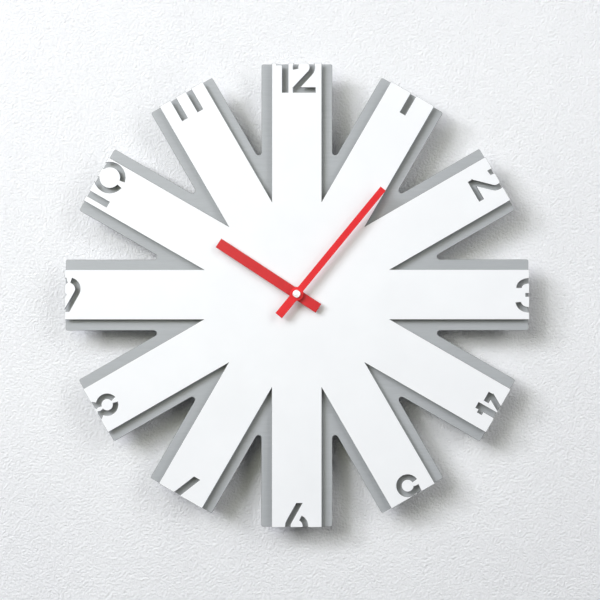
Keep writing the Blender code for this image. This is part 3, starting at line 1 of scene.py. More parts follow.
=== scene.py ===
"""Looks of the twelve-armed stencil wall clock: lacquers, metals and mouldings, the
small pieces that the solids leave out, the wall behind it and the light on it."""
import json
import math

import bmesh
import bpy
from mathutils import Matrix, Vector, geometry


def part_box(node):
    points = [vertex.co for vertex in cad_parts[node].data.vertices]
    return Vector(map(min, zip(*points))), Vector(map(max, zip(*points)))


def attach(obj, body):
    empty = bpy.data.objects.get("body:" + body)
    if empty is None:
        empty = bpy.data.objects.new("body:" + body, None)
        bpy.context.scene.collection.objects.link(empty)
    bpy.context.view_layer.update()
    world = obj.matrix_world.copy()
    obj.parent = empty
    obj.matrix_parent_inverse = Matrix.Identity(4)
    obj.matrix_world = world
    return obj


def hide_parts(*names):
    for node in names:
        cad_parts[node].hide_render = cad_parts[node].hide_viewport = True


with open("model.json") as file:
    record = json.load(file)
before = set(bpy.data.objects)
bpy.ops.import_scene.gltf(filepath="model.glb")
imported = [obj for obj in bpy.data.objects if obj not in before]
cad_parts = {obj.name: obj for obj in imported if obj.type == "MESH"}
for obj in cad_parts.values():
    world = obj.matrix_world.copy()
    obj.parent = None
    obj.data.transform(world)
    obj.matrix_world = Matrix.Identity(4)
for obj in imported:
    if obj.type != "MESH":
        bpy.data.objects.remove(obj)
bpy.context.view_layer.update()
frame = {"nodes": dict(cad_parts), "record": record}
NODES = frame["nodes"]
SLOTS = {part["node"]: part["material_slot"] for part in frame["record"]["subparts"]}

FIXED = "fixed_body"
MILLIMETRE = 0.001
IN_A_METRE = 1000

# The photograph was taken from a little below and to the right of the dial axis
EYE = (0.0202, -1.0, -0.0763)
LOOK_UP = math.radians(0.717)
LOOK_LEFT = math.radians(0.282)
FOCAL_LENGTH = 68.07
FRAME_SHIFT = (-0.0244, 0.115)

# The wall, which fades from view between two distances from the dial axis in millimetres
WALL_GAP = 0.0004
WALL_REACH = 4.0
WALL_FOOT = -1.6
WALL_FADE = (420.0, 900.0)
WALL_LIGHT = (0.945, 0.945, 0.957)
WALL_DARK = (0.91, 0.91, 0.925)

# Colours of the light
DAYLIGHT = (0.925, 0.94, 1.0)
ROOM_LIGHT = (0.965, 0.98, 0.975)
TABLE_LIGHT = (0.97, 1.0, 0.74)
AIR = (1.0, 0.98, 0.86, 1)
AIR_STRENGTH = 0.02
SURROUNDINGS = (1, 1, 1, 1)
SURROUNDINGS_STRENGTH = 1.0

# How meshes are cleaned
WELD = 1e-7
SOLID_WELD = 1e-6
STRAIGHT_RUN = 1e-4
FACING_FRONT = -0.99
INSIDE_ONLY = 1
NEAREST_CORNERS = 1e-8
SHEET_SHARP = math.radians(25)
TURNED_SHARP = math.radians(40)

# Broken edges of the sheets
STAR_EDGE = 0.0002
HAND_EDGE = 0.00014
NARROW_REACH = 0.0015
NARROW_GROWTH = 1.3
# How squarely a surface must face the dial axis to move from the painted rim shade to the face colour
RIM_SHADE_TO_FACE = (0.75, 0.92)

# The cap nut, its rim a share of its depth
CAP_RIM = 0.27
CAP_BEVEL = 0.0002
CAP_BORE = 0.00185
CAP_ROOF = 0.0008
CAP_STEPS = 14
CAP_FACETS = 56

# The cell, its widths shares of its radius
CELL_BUTTON = 0.0014
CELL_ROLL = 0.0006
CELL_DISH = 0.0003
CELL_DISH_WIDTH = 0.62
CELL_FOOT_WIDTH = 0.7
CELL_CREST_WIDTH = 0.8
CELL_SEAL_WIDTHS = (0.74, 0.42)
CELL_BUTTON_WIDTH = 0.38
CELL_FACETS = 64
CELL_BAND = (12.6, 12.9)

# The coil's wire
COIL_FLANGE = 0.0006
COIL_FLANGE_RISE = 0.0003
COIL_FACETS = 40
WIRE_PITCH = 0.00022
WIRE_FACETS = 6

# Solder drops, with their distance from the board's upper right corner
SOLDER_SPREAD = (0.0022, 0.0075)
SOLDER_INSET = (0.0026, 0.0056)
SOLDER_RADIUS = 0.00055
SOLDER_FLATNESS = (1, 1, 0.45)
SOLDER_SIZES = (0.75, 1.1)


class Value:
    """A socket in a material, with the arithmetic of numbers."""

    def __init__(self, finish, socket):
        self.finish = finish
        self.socket = socket

    def maths(self, operation, *terms):
        node = self.finish.tree.nodes.new("ShaderNodeMath")
        node.operation = operation
        for slot, term in zip(node.inputs, terms):
            self.finish.feed(slot, term)
        return Value(self.finish, node.outputs[0])

    def __add__(self, other):
        return self.maths("ADD", self, other)

    def __radd__(self, other):
        return self.maths("ADD", other, self)

    def __sub__(self, other):
        return self.maths("SUBTRACT", self, other)

    def __rsub__(self, other):
        return self.maths("SUBTRACT", other, self)

    def __mul__(self, other):
        return self.maths("MULTIPLY", self, other)

    def __rmul__(self, other):
        return self.maths("MULTIPLY", other, self)


class Finish:
    """A node material: constants go on the shader's own sockets, patterns are linked."""

    def __init__(self, name, color, roughness, **constants):
        self.material = bpy.data.materials.new(name)
        self.material.use_nodes = True
        self.tree = self.material.node_tree
        self.shader = self.tree.nodes["Principled BSDF"]
        self.material.diffuse_color = (*color, 1)
        self.shader.inputs["Base Color"].default_value = (*color, 1)
        self.shader.inputs["Roughness"].default_value = roughness
        for key, value in constants.items():
            self.shader.inputs[key.replace("_", " ").title().replace("Ior", "IOR")].default_value = value

    def feed(self, slot, term):
        """Link a socket or set a plain value."""
        if isinstance(term, Value):
            self.tree.links.new(term.socket, slot)
        elif isinstance(term, (tuple, list)) and len(term) == 3 and slot.type == "RGBA":
            slot.default_value = (*term, 1)
        else:
            slot.default_value = term

    def node(self, kind, settings=None, output=0, **values):
        """Any other node: settings first, then the values or links of its sockets."""
        node = self.tree.nodes.new(f"ShaderNode{kind}")
        for key, value in (settings or {}).items():
            setattr(node, key, value)
        for key, term in values.items():
            slot = int(key[1:]) if key[0] == "_" else key.replace("_", " ")
            self.feed(node.inputs[slot], term)
        return Value(self, node.outputs[output])

    def place(self, turn=(0, 0, 0), scale=(1, 1, 1)):
        """The piece's own coordinates in millimetres, turned and stretched."""
        spot = self.node("TexCoord", output="Object")
        size = tuple(IN_A_METRE * share for share in scale)
        return self.node("Mapping", {"vector_type": "POINT"}, Vector=spot, Rotation=turn, Scale=size)

    def noise(self, spot, size, detail=2.0, roughness=0.5):
        """Cloudy pattern whose features are about that many millimetres across."""
        return self.node("TexNoise", Vector=spot, Scale=1 / size, Detail=detail, Roughness=roughness)

    def ramp(self, value, low, high):
        """Stretch the range from low to high onto 0 to 1."""
        return self.node("MapRange", {"clamp": True}, Value=value, From_Min=low, From_Max=high)

    def blend(self, share, first, second):
        """A colour between two others."""
        return self.node("Mix", {"data_type": "RGBA"}, 2, _0=share, _6=first, _7=second)

    def color(self, value):
        self.feed(self.shader.inputs["Base Color"], value)
        return self

    def rough(self, value):
        self.feed(self.shader.inputs["Roughness"], value)
        return self

    def relief(self, height, depth, strength=1.0):
        """Surface relief from a height of 0 to 1, that many millimetres deep."""
        bump = self.node("Bump", Height=height, Strength=strength, Distance=depth * MILLIMETRE)
        self.feed(self.shader.inputs["Normal"], bump)
        return self


def painted_rim_shade(finish, face_color, rim_shade_color):
    """Painted shade on the rim of a sheet: a dark colour where the surface turns away from the dial axis.
    """
    lean = finish.node("SeparateXYZ", output=1, Vector=finish.node("TexCoord", output="Normal"))
    facing = lean.maths("ABSOLUTE", lean)
    return finish.blend(finish.ramp(facing, *RIM_SHADE_TO_FACE), rim_shade_color, face_color)


def lacquer(name, light, dark, rim_shade_tone, roughness, peel, cloud):
    """Sprayed lacquer on sheet: orange peel, faint clouds and a little dust in the film."""
    finish = Finish(name, light, roughness, specular_ior_level=0.45)
    spot = finish.place()
    clouds = finish.noise(spot, cloud, detail=4.0)
    skin = finish.noise(spot, peel, detail=3.0)
    dust = finish.ramp(finish.noise(spot, peel / 3, detail=1.0), 0.66, 0.78)
    face = finish.blend(finish.ramp(clouds, 0.3, 0.7), dark, light)
    # The rims take a dark colour: painted shade along the sheet's edges
    finish.color(painted_rim_shade(finish, face, rim_shade_tone))
    finish.rough(roughness - 0.05 + 0.1 * clouds + 0.1 * dust)
    return finish.relief(skin + 0.4 * dust, 0.05, 0.5).material


def brushed_lacquer(name, light, dark, rim_shade_tone, roughness):
    """Grey lacquer over a brushed sheet, whose fine scratches run across the dial."""
    finish = Finish(name, light, roughness, specular_ior_level=0.5)
    fine = finish.noise(finish.place(scale=(0.05, 1, 1)), 0.5, detail=3.0)
    coarse = finish.noise(finish.place(scale=(0.04, 1, 1)), 2.2, detail=3.0)
    clouds = finish.noise(finish.place(), 35.0, detail=4.0)
    streaks = 0.45 * fine + 0.35 * coarse + 0.2 * clouds
    face = finish.blend(finish.ramp(streaks, 0.38, 0.62), dark, light)
    # The rims take a dark colour: painted shade along the sheet's edges
    finish.color(painted_rim_shade(finish, face, rim_shade_tone))
    finish.rough(roughness - 0.08 + 0.16 * coarse)
    return finish.relief(fine, 0.02, 0.35).material


def plated(name, color, shade, roughness, grain):
    """Bright plating with fine polishing marks and slight tarnish."""
    finish = Finish(name, color, roughness, metallic=1.0)
    marks = finish.noise(finish.place(scale=(1, 0.15, 1)), grain, detail=4.0)
    tarnish = finish.noise(finish.place(), 3.0, detail=4.0)
    finish.color(finish.blend(finish.ramp(tarnish, 0.35, 0.75), color, shade))
    finish.rough(roughness - 0.04 + 0.12 * marks)
    return finish.relief(marks, 0.01, 0.3).material


def moulding(name, color, shade, roughness, grain=0.25, depth=0.03):
    """Spark-eroded grain of a moulded housing, a little shinier where hands rub it."""
    finish = Finish(name, color, roughness, specular_ior_level=0.4)
    skin = finish.noise(finish.place(), grain, detail=3.0)
    rub = finish.noise(finish.place(), 14.0, detail=3.0)
    finish.color(finish.blend(finish.ramp(rub, 0.3, 0.75), color, shade))
    finish.rough(roughness + 0.06 - 0.16 * finish.ramp(rub, 0.45, 0.8))
    return finish.relief(skin, depth, 0.6).material


def wound_wire(name, along, pitch):
    """Enamelled wire in level turns round a bobbin, with a painted highlight on each crest and painted
    shade between the turns.
    """
    finish = Finish(name, (0.55, 0.20, 0.07), 0.32, metallic=1.0)
    turns = finish.node("SeparateXYZ", output=along, Vector=finish.place()) * (math.tau / pitch)
    wire_crest_and_shade = turns.maths("SINE", turns) * 0.5 + 0.5
    # Painted shade between the turns and a painted highlight on each crest; the same wave also raises the
    # relief
    finish.color(finish.blend(wire_crest_and_shade, (0.30, 0.09, 0.03), (0.72, 0.30, 0.11)))
    return finish.relief(wire_crest_and_shade, pitch / 3, 0.8).material


def board_mask(name):
    """Green mask with the tracks beneath it as raised, darker lines."""
    finish = Finish(name, (0.03, 0.16, 0.07), 0.35, specular_ior_level=0.6)
    spot = finish.place()
    tracks = finish.node(
        "TexBrick",
        {"offset": 0.5, "squash": 0.6},
        Vector=finish.place(turn=(math.pi / 2, 0, 0)),
        Scale=0.55,
        Mortar_Size=0.09,
        Mortar_Smooth=0.2,
        output="Fac",
    )
    weave = finish.noise(spot, 0.4, detail=2.0)
    finish.color(finish.blend(tracks, (0.05, 0.24, 0.11), (0.025, 0.13, 0.06)))
    finish.rough(0.3 + 0.15 * weave)
    return finish.relief(tracks, 0.04, 0.4).material


def cell_jacket(name):
    """Plain foil jacket with a pale band at the button end."""
    finish = Finish(name, (0.05, 0.08, 0.14), 0.28, metallic=0.6)
    along = finish.node("SeparateXYZ", Vector=finish.place())
    band = finish.ramp(along, *CELL_BAND)
    scuffs = finish.ramp(finish.noise(finish.place(scale=(0.2, 1, 1)), 1.5, detail=5.0), 0.58, 0.8)
    finish.color(finish.blend(band, (0.03, 0.045, 0.09), (0.42, 0.36, 0.24)))
    finish.rough(0.24 + 0.3 * scuffs)
    return finish.relief(scuffs, 0.02, 0.4).material


def plaster(name, light, dark):
    """Painted plaster with the stipple of a roller, lost in the light far from the clock."""
    finish = Finish(name, light, 0.8, specular_ior_level=0.2)
    spot = finish.place()
    stipple = finish.noise(spot, 2.0, detail=4.0, roughness=0.6)
    swell = finish.noise(spot, 16.0, detail=3.0)
    clouds = finish.noise(spot, 130.0, detail=3.0)
    finish.color(finish.blend(finish.ramp(clouds, 0.3, 0.7), light, dark))
    finish.relief(0.88 * stipple + 0.12 * swell, 2.0, 0.85)
    behind = finish.node("NewGeometry", output="Backfacing")
    reach = finish.node("VectorMath", {"operation": "LENGTH"}, output="Value", Vector=spot)
    unseen = behind.maths("MAXIMUM", behind, finish.ramp(reach, *WALL_FADE))
    camera = finish.node("LightPath", output="Is Camera Ray")
    paint = Value(finish, finish.shader.outputs[0])
    clear = finish.node("BsdfTransparent")
    mixed = finish.node("MixShader", _0=unseen * camera, _1=paint, _2=clear)
    finish.feed(finish.tree.nodes["Material Output"].inputs["Surface"], mixed)
    return finish.material


# The third colour of each lacquer is painted shade on the rims of its sheets
FINISHES = {
    "white_lacquer": lacquer(
        "white_lacquer", (0.92, 0.925, 0.94), (0.89, 0.895, 0.91), (0.06, 0.06, 0.057), 0.5, 0.8, 45.0
    ),
    "grey_lacquer": brushed_lacquer(
        "grey_lacquer", (0.42, 0.435, 0.448), (0.38, 0.394, 0.406), (0.08, 0.08, 0.077), 0.5
    ),
    "red_lacquer": lacquer(
        "red_lacquer", (0.75, 0.012, 0.019), (0.69, 0.009, 0.015), (0.32, 0.008, 0.012), 0.42, 0.5, 9.0
    ),
    "dark_red_lacquer": lacquer(
        "dark_red_lacquer", (0.60, 0.012, 0.018), (0.54, 0.009, 0.014), (0.26, 0.007, 0.010), 0.45, 0.5, 9.0
    ),
    "polished_nickel": plated("polished_nickel", (0.90, 0.89, 0.87), (0.80, 0.79, 0.77), 0.20, 0.3),
    "zinc_steel": plated("zinc_steel", (0.62, 0.63, 0.65), (0.48, 0.49, 0.50), 0.36, 0.25),
    "brass": plated("brass", (0.78, 0.57, 0.27), (0.60, 0.42, 0.18), 0.28, 0.2),
    "black_moulding": moulding("black_moulding", (0.022, 0.022, 0.023), (0.035, 0.035, 0.036), 0.52),
    "black_rubber": moulding("black_rubber", (0.018, 0.018, 0.018), (0.03, 0.03, 0.03), 0.85, 0.15, 0.02),
    "white_nylon": moulding("white_nylon", (0.80, 0.79, 0.72), (0.74, 0.72, 0.64), 0.45, 0.1, 0.01),
    "magnet": moulding("magnet", (0.09, 0.09, 0.10), (0.13, 0.13, 0.14), 0.5, 0.12, 0.02),
    "copper_wire": wound_wire("copper_wire", 0, 0.25),
    "board": board_mask("board"),
    "resin": moulding("resin", (0.014, 0.014, 0.016), (0.02, 0.02, 0.022), 0.22, 0.6, 0.02),
    "cell_jacket": cell_jacket("cell_jacket"),
}


def finish_nodes():
    """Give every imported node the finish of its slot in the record."""
    for name, slot in SLOTS.items():
        node = NODES[name]
        node.data.materials.clear()
        node.data.materials.append(FINISHES[slot])


def put_down(name, mesh, slot, body=FIXED):
    """Hang a finished mesh on a body of the clock, in the finish of its slot."""
    piece = bpy.data.objects.new(name, mesh)
    bpy.context.scene.collection.objects.link(piece)
    mesh.materials.clear()
    mesh.materials.append(FINISHES[slot])
    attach(piece, body)
    return piece


def turned(name, profile, steps, axis, at):
    """A profile of (distance along the axis, radius) points spun round an axis through a place."""
    side = Vector((0, 0, 1))
    solid = bmesh.new()
    verts = [solid.verts.new(axis * along + side * radius) for along, radius in profile]
    edges = [solid.edges.new(pair) for pair in zip(verts, verts[1:])]
    bmesh.ops.spin(solid, geom=verts + edges, cent=(0, 0, 0), axis=axis, angle=math.tau, steps=steps)
    bmesh.ops.remove_doubles(solid, verts=solid.verts, dist=WELD)
    bmesh.ops.recalc_face_normals(solid, faces=solid.faces)
    bmesh.ops.translate(solid, verts=solid.verts, vec=at)
    mesh = bpy.data.meshes.new(name)
    solid.to_mesh(mesh)
    solid.free()
    mesh.shade_smooth()
    mesh.set_sharp_from_angle(angle=TURNED_SHARP)
    return mesh


def quarter(along, radius, size, start, steps=5):
    """Points of a rounded corner, as (distance along the axis, radius)."""
    return [
        (
            along + size * math.cos(start + math.pi / 2 * k / steps),
            radius + size * math.sin(start + math.pi / 2 * k / steps),
        )
        for k in range(steps + 1)
    ]


def face_loops(node):
    """The outlines of a sheet's front, with the metal always on the left, and its depths."""
    source = NODES[node]
    solid = bmesh.new()
    solid.from_mesh(source.data)
    solid.transform(source.matrix_world)
    bmesh.ops.remove_doubles(solid, verts=solid.verts, dist=SOLID_WELD)
    solid.normal_update()
    depths = [vert.co.y for vert in solid.verts]
    onward = {}
    for face in solid.faces:
        if face.normal.y > FACING_FRONT:
            continue
        for loop in face.loops:
            across = loop.link_loop_radial_next.face
            if across.normal.y > FACING_FRONT:
                onward[loop.vert.index] = loop.link_loop_next.vert.index
    places = {vert.index: (vert.co.x, vert.co.z) for vert in solid.verts}
    solid.free()
    loops = []
    while onward:
        first, spot = onward.popitem()
        loop = [first]
        while spot != first:
            loop.append(spot)
            spot = onward.pop(spot)
        loops.append(real_corners([Vector(places[index]) for index in loop]))
    return loops, min(depths), max(depths)


def steps_at(loop):
    """Each corner of a loop with the direction that leads to it and the one that leaves it."""
    for before, spot, after in zip(loop[-1:] + loop[:-1], loop, loop[1:] + loop[:1]):
        yield spot, (spot - before).normalized(), (after - spot).normalized()


def real_corners(loop):
    """The loop without the points that lie along a straight run."""
    return [spot for spot, come, go in steps_at(loop) if abs(come.cross(go)) > STRAIGHT_RUN]


def drawn_in(loop, breadths):
    """The loop moved into the metal, each corner by its own breadth."""
    inner = []
    for (spot, come, go), breadth in zip(steps_at(loop), breadths):
        lean = (come + go).orthogonal()
        inner.append(spot + lean * (breadth / lean.dot(come.orthogonal())))
    return inner


def rim_and_cap(loops, breadth):
    """The loops moved in by a breadth, less where the metal is too narrow, and what they enclose."""
    breadths = [[breadth] * len(loop) for loop in loops]
    near = NARROW_REACH
    while True:
        inner = [drawn_in(*pair) for pair in zip(loops, breadths)]
        triangles, crossings = cap_triangles(inner)
        if not crossings:
            return inner, triangles
        for loop, shares in zip(loops, breadths):
            for k, spot in enumerate(loop):
                if any((spot - crossing).length < near for crossing in crossings):
                    shares[k] /= 2
        near *= NARROW_GROWTH


def in_metal(spot, loops):
    """Whether a spot lies inside an odd number of the loops."""
    inside = False
    for loop in loops:
        for before, after in zip(loop[-1:] + loop[:-1], loop):
            if (before.y > spot.y) != (after.y > spot.y):
                along = (spot.y - before.y) / (after.y - before.y)
                inside ^= spot.x < before.x + along * (after.x - before.x)
    return inside


def cap_triangles(loops):
    """Well-shaped triangles between the loops, and the places where the loops cross."""
    corners = [spot for loop in loops for spot in loop]
    edges = []
    for loop in loops:
        base = len(edges)
        edges += [(base + k, base + (k + 1) % len(loop)) for k in range(len(loop))]
    spots, _, faces, origins, _, _ = geometry.delaunay_2d_cdt(
        corners, edges, [], INSIDE_ONLY, NEAREST_CORNERS
    )
    crossings = [spot for spot, origin in zip(spots, origins) if not origin]
    if crossings:
        return [], crossings
    kept = []
    for face in faces:
        middle = sum((spots[k] for k in face), Vector((0, 0))) / len(face)
        if in_metal(middle, loops):
            kept.append([origins[k][0] for k in face])
    return kept, []


def broken_edges(node, breadth, slot, body):
    """A sheet piece again, with its sawn edges broken as a file leaves them."""
    loops, front, rear = face_loops(node)
    solid = bmesh.new()
    caps = ([], [])
    drawn, triangles = rim_and_cap(loops, breadth)
    for loop, inner in zip(loops, drawn):
        rings = [
            [solid.verts.new((x, depth, z)) for x, z in outline]
            for outline, depth in (
                (inner, front),
                (loop, front + breadth),
                (loop, rear - breadth),
                (inner, rear),
            )
        ]
        caps[0].append(rings[0])
        caps[1].append(rings[3])
        for ring, behind in zip(rings, rings[1:]):
            for k in range(len(loop)):
                side = solid.faces.new((ring[k - 1], behind[k - 1], behind[k], ring[k]))
                side.smooth = True
    for cap, outward in zip(caps, (-1, 1)):
        verts = [vert for ring in cap for vert in ring]
        for corners in triangles:
            face = solid.faces.new([verts[index] for index in corners])
            face.normal_update()
            if face.normal.y * outward < 0:
                face.normal_flip()
    mesh = bpy.data.meshes.new(f"{node}_sheet")
    solid.to_mesh(mesh)
    solid.free()
    mesh.set_sharp_from_angle(angle=SHEET_SHARP)
    piece = put_down(f"{node}_sheet", mesh, slot, body)
    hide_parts(node)


def make_sheets():
    """The two stars and the two hands, cut from sheet."""
    broken_edges("front_plate", STAR_EDGE, "white_lacquer", FIXED)
    broken_edges("back_plate", STAR_EDGE, "grey_lacquer", FIXED)
    broken_edges("hour_hand", HAND_EDGE, SLOTS["hour_hand"], "hour_body")
    broken_edges("minute_hand", HAND_EDGE, SLOTS["minute_hand"], "minute_body")


def make_cap_nut():
    """The domed nut, smooth where the solid has facets, and open behind for the minute arbor."""
    low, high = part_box("cap_nut")
    radius = (high[0] - low[0]) / 2
    depth = high[1] - low[1]
    rim = CAP_RIM * depth
    dome = depth - rim
    roof = depth - CAP_ROOF
    profile = [(roof, 0), (roof, CAP_BORE), (0, CAP_BORE), (0, radius - CAP_BEVEL)]
    profile += [(CAP_BEVEL, radius)]
    for k in range(CAP_STEPS + 1):
        angle = math.pi / 2 * k / CAP_STEPS
        profile.append((rim + dome * math.sin(angle), radius * math.cos(angle)))
    mesh = turned("cap_dome", profile, CAP_FACETS, Vector((0, -1, 0)), (0, high[1], 0))
    piece = put_down("cap_dome", mesh, "polished_nickel", "minute_body")
    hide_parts("cap_nut")


def make_cell():
    """The cell with its dished foot, its rolled rim, its sunk seal and its button."""
    low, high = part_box("battery_cell")
    radius = (high[1] - low[1]) / 2
    length = high[0] - low[0]
    shoulder = length - CELL_BUTTON
    foot = (low[0], (low[1] + high[1]) / 2, (low[2] + high[2]) / 2)
    roll = CELL_ROLL
    profile = [(CELL_DISH, 0), (CELL_DISH, radius * CELL_DISH_WIDTH), (0, radius * CELL_FOOT_WIDTH)]
    # This corner starts a quarter turn late, so the can tapers towards its foot
    profile += quarter(roll, radius - roll, roll, math.pi)[::-1]
    profile += quarter(shoulder - roll, radius - roll, roll, 0)[::-1]
    profile += [(shoulder, radius * CELL_CREST_WIDTH)]
    profile += [(shoulder - roll, radius * width) for width in CELL_SEAL_WIDTHS]
    button = radius * CELL_BUTTON_WIDTH
    profile += [(length - roll / 2, button), (length, button - roll / 2), (length, 0)]
    mesh = turned("cell_can", profile, CELL_FACETS, Vector((1, 0, 0)), foot)
    piece = put_down("cell_can", mesh, "cell_jacket")
    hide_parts("battery_cell")


class Recipe:
    """A tree of geometry nodes with named inputs, run once for each finished mesh."""

    def __init__(self, name, **inputs):
        self.group = bpy.data.node_groups.new(name, "GeometryNodeTree")
        self.keys = {}
        for label, (kind, value) in inputs.items():
            socket = self.group.interface.new_socket(
                label.replace("_", " "), in_out="INPUT", socket_type=f"NodeSocket{kind}"
            )
            if value is not None:
                socket.default_value = value
            self.keys[label] = socket.identifier
        self.group.interface.new_socket("Mesh", in_out="OUTPUT", socket_type="NodeSocketGeometry")
        self.start = self.group.nodes.new("NodeGroupInput")

    def given(self, label):
        """The socket of a named input."""
        return self.start.outputs[label.replace("_", " ")]

    def step(self, kind, settings=None, output=0, **values):
        """Any node of the tree: settings, then the values or links of its sockets."""
        node = self.group.nodes.new(kind)
        for key, value in (settings or {}).items():
            setattr(node, key, value)
        for key, value in values.items():
            slot = node.inputs[int(key[1:]) if key[0] == "_" else key.replace("_", " ")]
            if isinstance(value, bpy.types.NodeSocket):
                self.group.links.new(value, slot)
            else:
                slot.default_value = value
        return node.outputs[output]

    def finish(self, geometry, material):
        """Make the copies real and give them their finish."""
        real = self.step("GeometryNodeRealizeInstances", _0=geometry)
        done = self.step("GeometryNodeSetMaterial", Geometry=real, Material=material)
        end = self.group.nodes.new("NodeGroupOutput")
        self.group.links.new(done, end.inputs[0])

    def run(self, name, **values):
        """The plain mesh that the tree makes from these values."""
        holder = bpy.data.objects.new(name, bpy.data.meshes.new(name))
        bpy.context.scene.collection.objects.link(holder)
        work = holder.modifiers.new(name, "NODES")
        work.node_group = self.group
        for label, value in values.items():
            work[self.keys[label]] = value
        bpy.context.view_layer.update()
        ready = holder.evaluated_get(bpy.context.evaluated_depsgraph_get())
        mesh = bpy.data.meshes.new_from_object(ready)
        bpy.data.objects.remove(holder)
        mesh.name = name
        return mesh


def ring_stack():
    """Rings side by side along an axis, for turns of wire."""
    recipe = Recipe(
        "ring_stack",
        Ring_Radius=("Float", 0.003),
        Wire_Radius=("Float", 0.0001),
        Pitch=("Float", 0.0002),
        Count=("Int", 10),
        Facets=("Int", 32),
        Place=("Vector", None),
        Turn=("Vector", None),
        Finish=("Material", None),
    )
    loop = recipe.step(
        "GeometryNodeCurvePrimitiveCircle",
        Resolution=recipe.given("Facets"),
        Radius=recipe.given("Ring_Radius"),
    )
    wire = recipe.step(
        "GeometryNodeCurvePrimitiveCircle",
        Resolution=WIRE_FACETS,
        Radius=recipe.given("Wire_Radius"),
    )
    ring = recipe.step("GeometryNodeCurveToMesh", Curve=loop, Profile_Curve=wire)
    offset = recipe.step("ShaderNodeCombineXYZ", Z=recipe.given("Pitch"))
    row = recipe.step("GeometryNodeMeshLine", Count=recipe.given("Count"), Offset=offset)
    copies = recipe.step("GeometryNodeInstanceOnPoints", Points=row, Instance=ring)
    placed = recipe.step(
        "GeometryNodeTransform",
        Geometry=copies,
        Translation=recipe.given("Place"),
        Rotation=recipe.given("Turn"),
    )
    recipe.finish(placed, recipe.given("Finish"))
    return recipe


def drop_grid():
    """Rows of flattened drops of slightly different sizes, for solder joints."""
    recipe = Recipe(
        "drop_grid",
        Columns=("Int", 4),
        Rows=("Int", 3),
        Width=("Float", 0.006),
        Height=("Float", 0.01),
        Drop_Radius=("Float", 0.0005),
        Place=("Vector", None),
        Turn=("Vector", None),
        Seed=("Int", 7),
        Finish=("Material", None),
    )
    grid = recipe.step(
        "GeometryNodeMeshGrid",
        Size_X=recipe.given("Width"),
        Size_Y=recipe.given("Height"),
        Vertices_X=recipe.given("Columns"),
        Vertices_Y=recipe.given("Rows"),
    )
    drop = recipe.step("GeometryNodeMeshUVSphere", Segments=12, Rings=8, Radius=recipe.given("Drop_Radius"))
    flat = recipe.step("GeometryNodeTransform", Geometry=drop, Scale=SOLDER_FLATNESS)
    smallest, largest = SOLDER_SIZES
    size = recipe.step(
        "FunctionNodeRandomValue",
        {"data_type": "FLOAT"},
        output=1,
        _2=smallest,
        _3=largest,
        Seed=recipe.given("Seed"),
    )
    copies = recipe.step("GeometryNodeInstanceOnPoints", Points=grid, Instance=flat, Scale=size)
    placed = recipe.step(
        "GeometryNodeTransform",
        Geometry=copies,
        Translation=recipe.given("Place"),
        Rotation=recipe.given("Turn"),
    )
    recipe.finish(placed, recipe.given("Finish"))
    return recipe


def rounded_off(name, mesh):
    """The mesh again with its faces outward and smooth."""
    solid = bmesh.new()
    solid.from_mesh(mesh)
    bmesh.ops.recalc_face_normals(solid, faces=solid.faces)
    smooth = bpy.data.meshes.new(name)
    solid.to_mesh(smooth)
    solid.free()
    smooth.shade_smooth()
    return smooth


def make_coil_turns(stack):
    """The outer layer of enamelled wire, turn beside turn between the bobbin's flanges."""
    low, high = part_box("coil")
    flange = COIL_FLANGE
    length = high[0] - low[0] - 2 * flange
    count = int(length / WIRE_PITCH)
    start = low[0] + flange + (length - (count - 1) * WIRE_PITCH) / 2
    turns = stack.run(
        "coil_turns",
        Ring_Radius=(high[2] - low[2]) / 2 - COIL_FLANGE_RISE,
        Wire_Radius=WIRE_PITCH / 2,
        Pitch=WIRE_PITCH,
        Count=count,
        Facets=COIL_FACETS,
        Place=(start, (low[1] + high[1]) / 2, (low[2] + high[2]) / 2),
        Turn=(0, math.pi / 2, 0),
        Finish=FINISHES["copper_wire"],
    )
    put_down("coil_turns", rounded_off("coil_turns", turns), "copper_wire")


def make_solder():
    """Solder joints on the front of the circuit board."""
    low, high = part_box("circuit_board")
    width, height = SOLDER_SPREAD
    inward, down = SOLDER_INSET
    drops = drop_grid().run(
        "solder_joints",
        Columns=2,
        Rows=4,
        Width=width,
        Height=height,
        Drop_Radius=SOLDER_RADIUS,
        Place=(high[0] - inward, low[1], high[2] - down),
        Turn=(math.pi / 2, 0, 0),
        Seed=7,
        Finish=FINISHES["zinc_steel"],
    )
    put_down("solder_joints", rounded_off("solder_joints", drops), "zinc_steel")


def make_wall():
    """The painted wall that the clock hangs on."""
    mesh = bpy.data.meshes.new("wall")
    solid = bmesh.new()
    reach = WALL_REACH
    corners = ((-reach, WALL_FOOT), (reach, WALL_FOOT), (reach, reach), (-reach, reach))
    face = solid.faces.new([solid.verts.new((x, WALL_GAP, z)) for x, z in corners])
    solid.normal_update()
    if face.normal.y > 0:
        face.normal_flip()
    solid.to_mesh(mesh)
    solid.free()
    wall = bpy.data.objects.new("wall", mesh)
    bpy.context.scene.collection.objects.link(wall)
    mesh.materials.append(plaster("plaster", WALL_LIGHT, WALL_DARK))
    wall.visible_shadow = False


def area_lamp(name, at, size, power, color=(1, 1, 1), bounces=None):
    """A square lamp that faces the middle of the dial."""
    lamp = bpy.data.lights.new(name, "AREA")
    lamp.shape = "SQUARE"
    lamp.size = size
    lamp.energy = power
    lamp.color = color
    if bounces is not None:
        lamp.cycles.max_bounces = bounces
    holder = bpy.data.objects.new(name, lamp)
    holder.location = at
    holder.rotation_euler = (-Vector(at)).to_track_quat("-Z", "Y").to_euler()
    bpy.context.scene.collection.objects.link(holder)


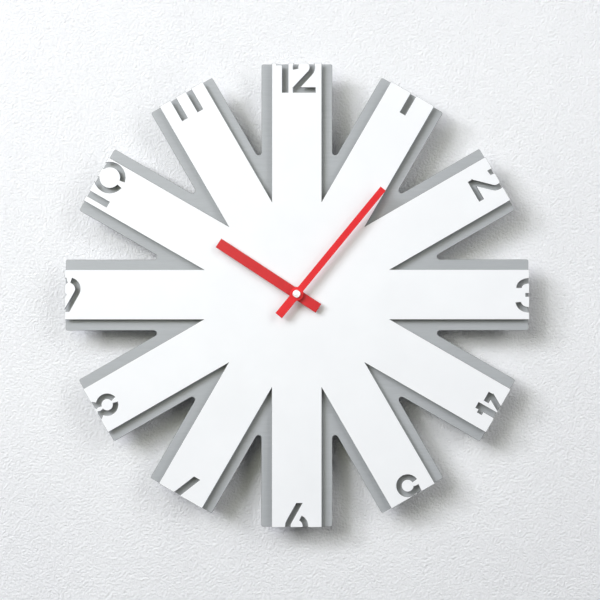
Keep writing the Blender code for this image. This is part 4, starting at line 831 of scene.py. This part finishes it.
def make_light():
    """A tall window at the left, daylight from above, a pale room at the right, fills behind."""
    area_lamp("window", (-1.96, -1.82, 1.05), 1.12, 40.0, DAYLIGHT)
    area_lamp("window_top", (-1.4, -1.96, 1.68), 1.12, 21.6, DAYLIGHT)
    area_lamp("window_pane", (-2.24, -1.54, 1.12), 0.42, 14.7, DAYLIGHT)
    area_lamp("window_front", (-1.68, -2.24, 0.56), 0.42, 7.4, DAYLIGHT)
    area_lamp("skylight", (-0.28, -2.1, 1.96), 1.12, 5.9, DAYLIGHT)
    area_lamp("table_glow", (-0.25, -0.75, 0.15), 0.4, 0.95, TABLE_LIGHT)
    area_lamp("room", (1.4, -1.3, 0.4), 0.8, 6.9, ROOM_LIGHT)
    area_lamp("room_top", (1.3, -1.3, 1.2), 1.0, 8.2, ROOM_LIGHT)
    area_lamp("room_low", (1.4, -1.3, -0.9), 1.0, 3.6, ROOM_LIGHT)
    area_lamp("rear_key", (1.4, 1.9, 1.1), 0.9, 38.0, bounces=0)
    area_lamp("rear_fill", (-1.6, 1.7, -0.2), 1.6, 14.0, bounces=0)
    make_world()


def make_world():
    """Dim warm air in the room, and pale surroundings that the eye and bright metal see."""
    world = bpy.data.worlds.new("surroundings")
    world.use_nodes = True
    tree = world.node_tree
    dim = tree.nodes["Background"]
    dim.inputs["Color"].default_value = AIR
    dim.inputs["Strength"].default_value = AIR_STRENGTH
    pale = tree.nodes.new("ShaderNodeBackground")
    pale.inputs["Color"].default_value = SURROUNDINGS
    pale.inputs["Strength"].default_value = SURROUNDINGS_STRENGTH
    path = tree.nodes.new("ShaderNodeLightPath")
    seen = path.outputs["Is Camera Ray"]
    for ray in ("Is Glossy Ray", "Is Transmission Ray"):
        either = tree.nodes.new("ShaderNodeMath")
        either.operation = "MAXIMUM"
        tree.links.new(seen, either.inputs[0])
        tree.links.new(path.outputs[ray], either.inputs[1])
        seen = either.outputs[0]
    mix = tree.nodes.new("ShaderNodeMixShader")
    tree.links.new(seen, mix.inputs[0])
    tree.links.new(dim.outputs[0], mix.inputs[1])
    tree.links.new(pale.outputs[0], mix.inputs[2])
    tree.links.new(mix.outputs[0], tree.nodes["World Output"].inputs["Surface"])
    bpy.context.scene.world = world


def make_camera():
    """The photograph's point of view."""
    lens = bpy.data.cameras.new("camera")
    lens.lens = FOCAL_LENGTH
    lens.shift_x, lens.shift_y = FRAME_SHIFT
    holder = bpy.data.objects.new("camera", lens)
    holder.location = EYE
    holder.rotation_euler = (math.pi / 2 + LOOK_UP, 0, LOOK_LEFT)
    bpy.context.scene.collection.objects.link(holder)
    bpy.context.scene.camera = holder


bpy.context.scene.view_settings.view_transform = "Standard"
make_camera()
make_light()
make_wall()
finish_nodes()
make_sheets()
make_cap_nut()
make_cell()
make_coil_turns(ring_stack())
make_solder()
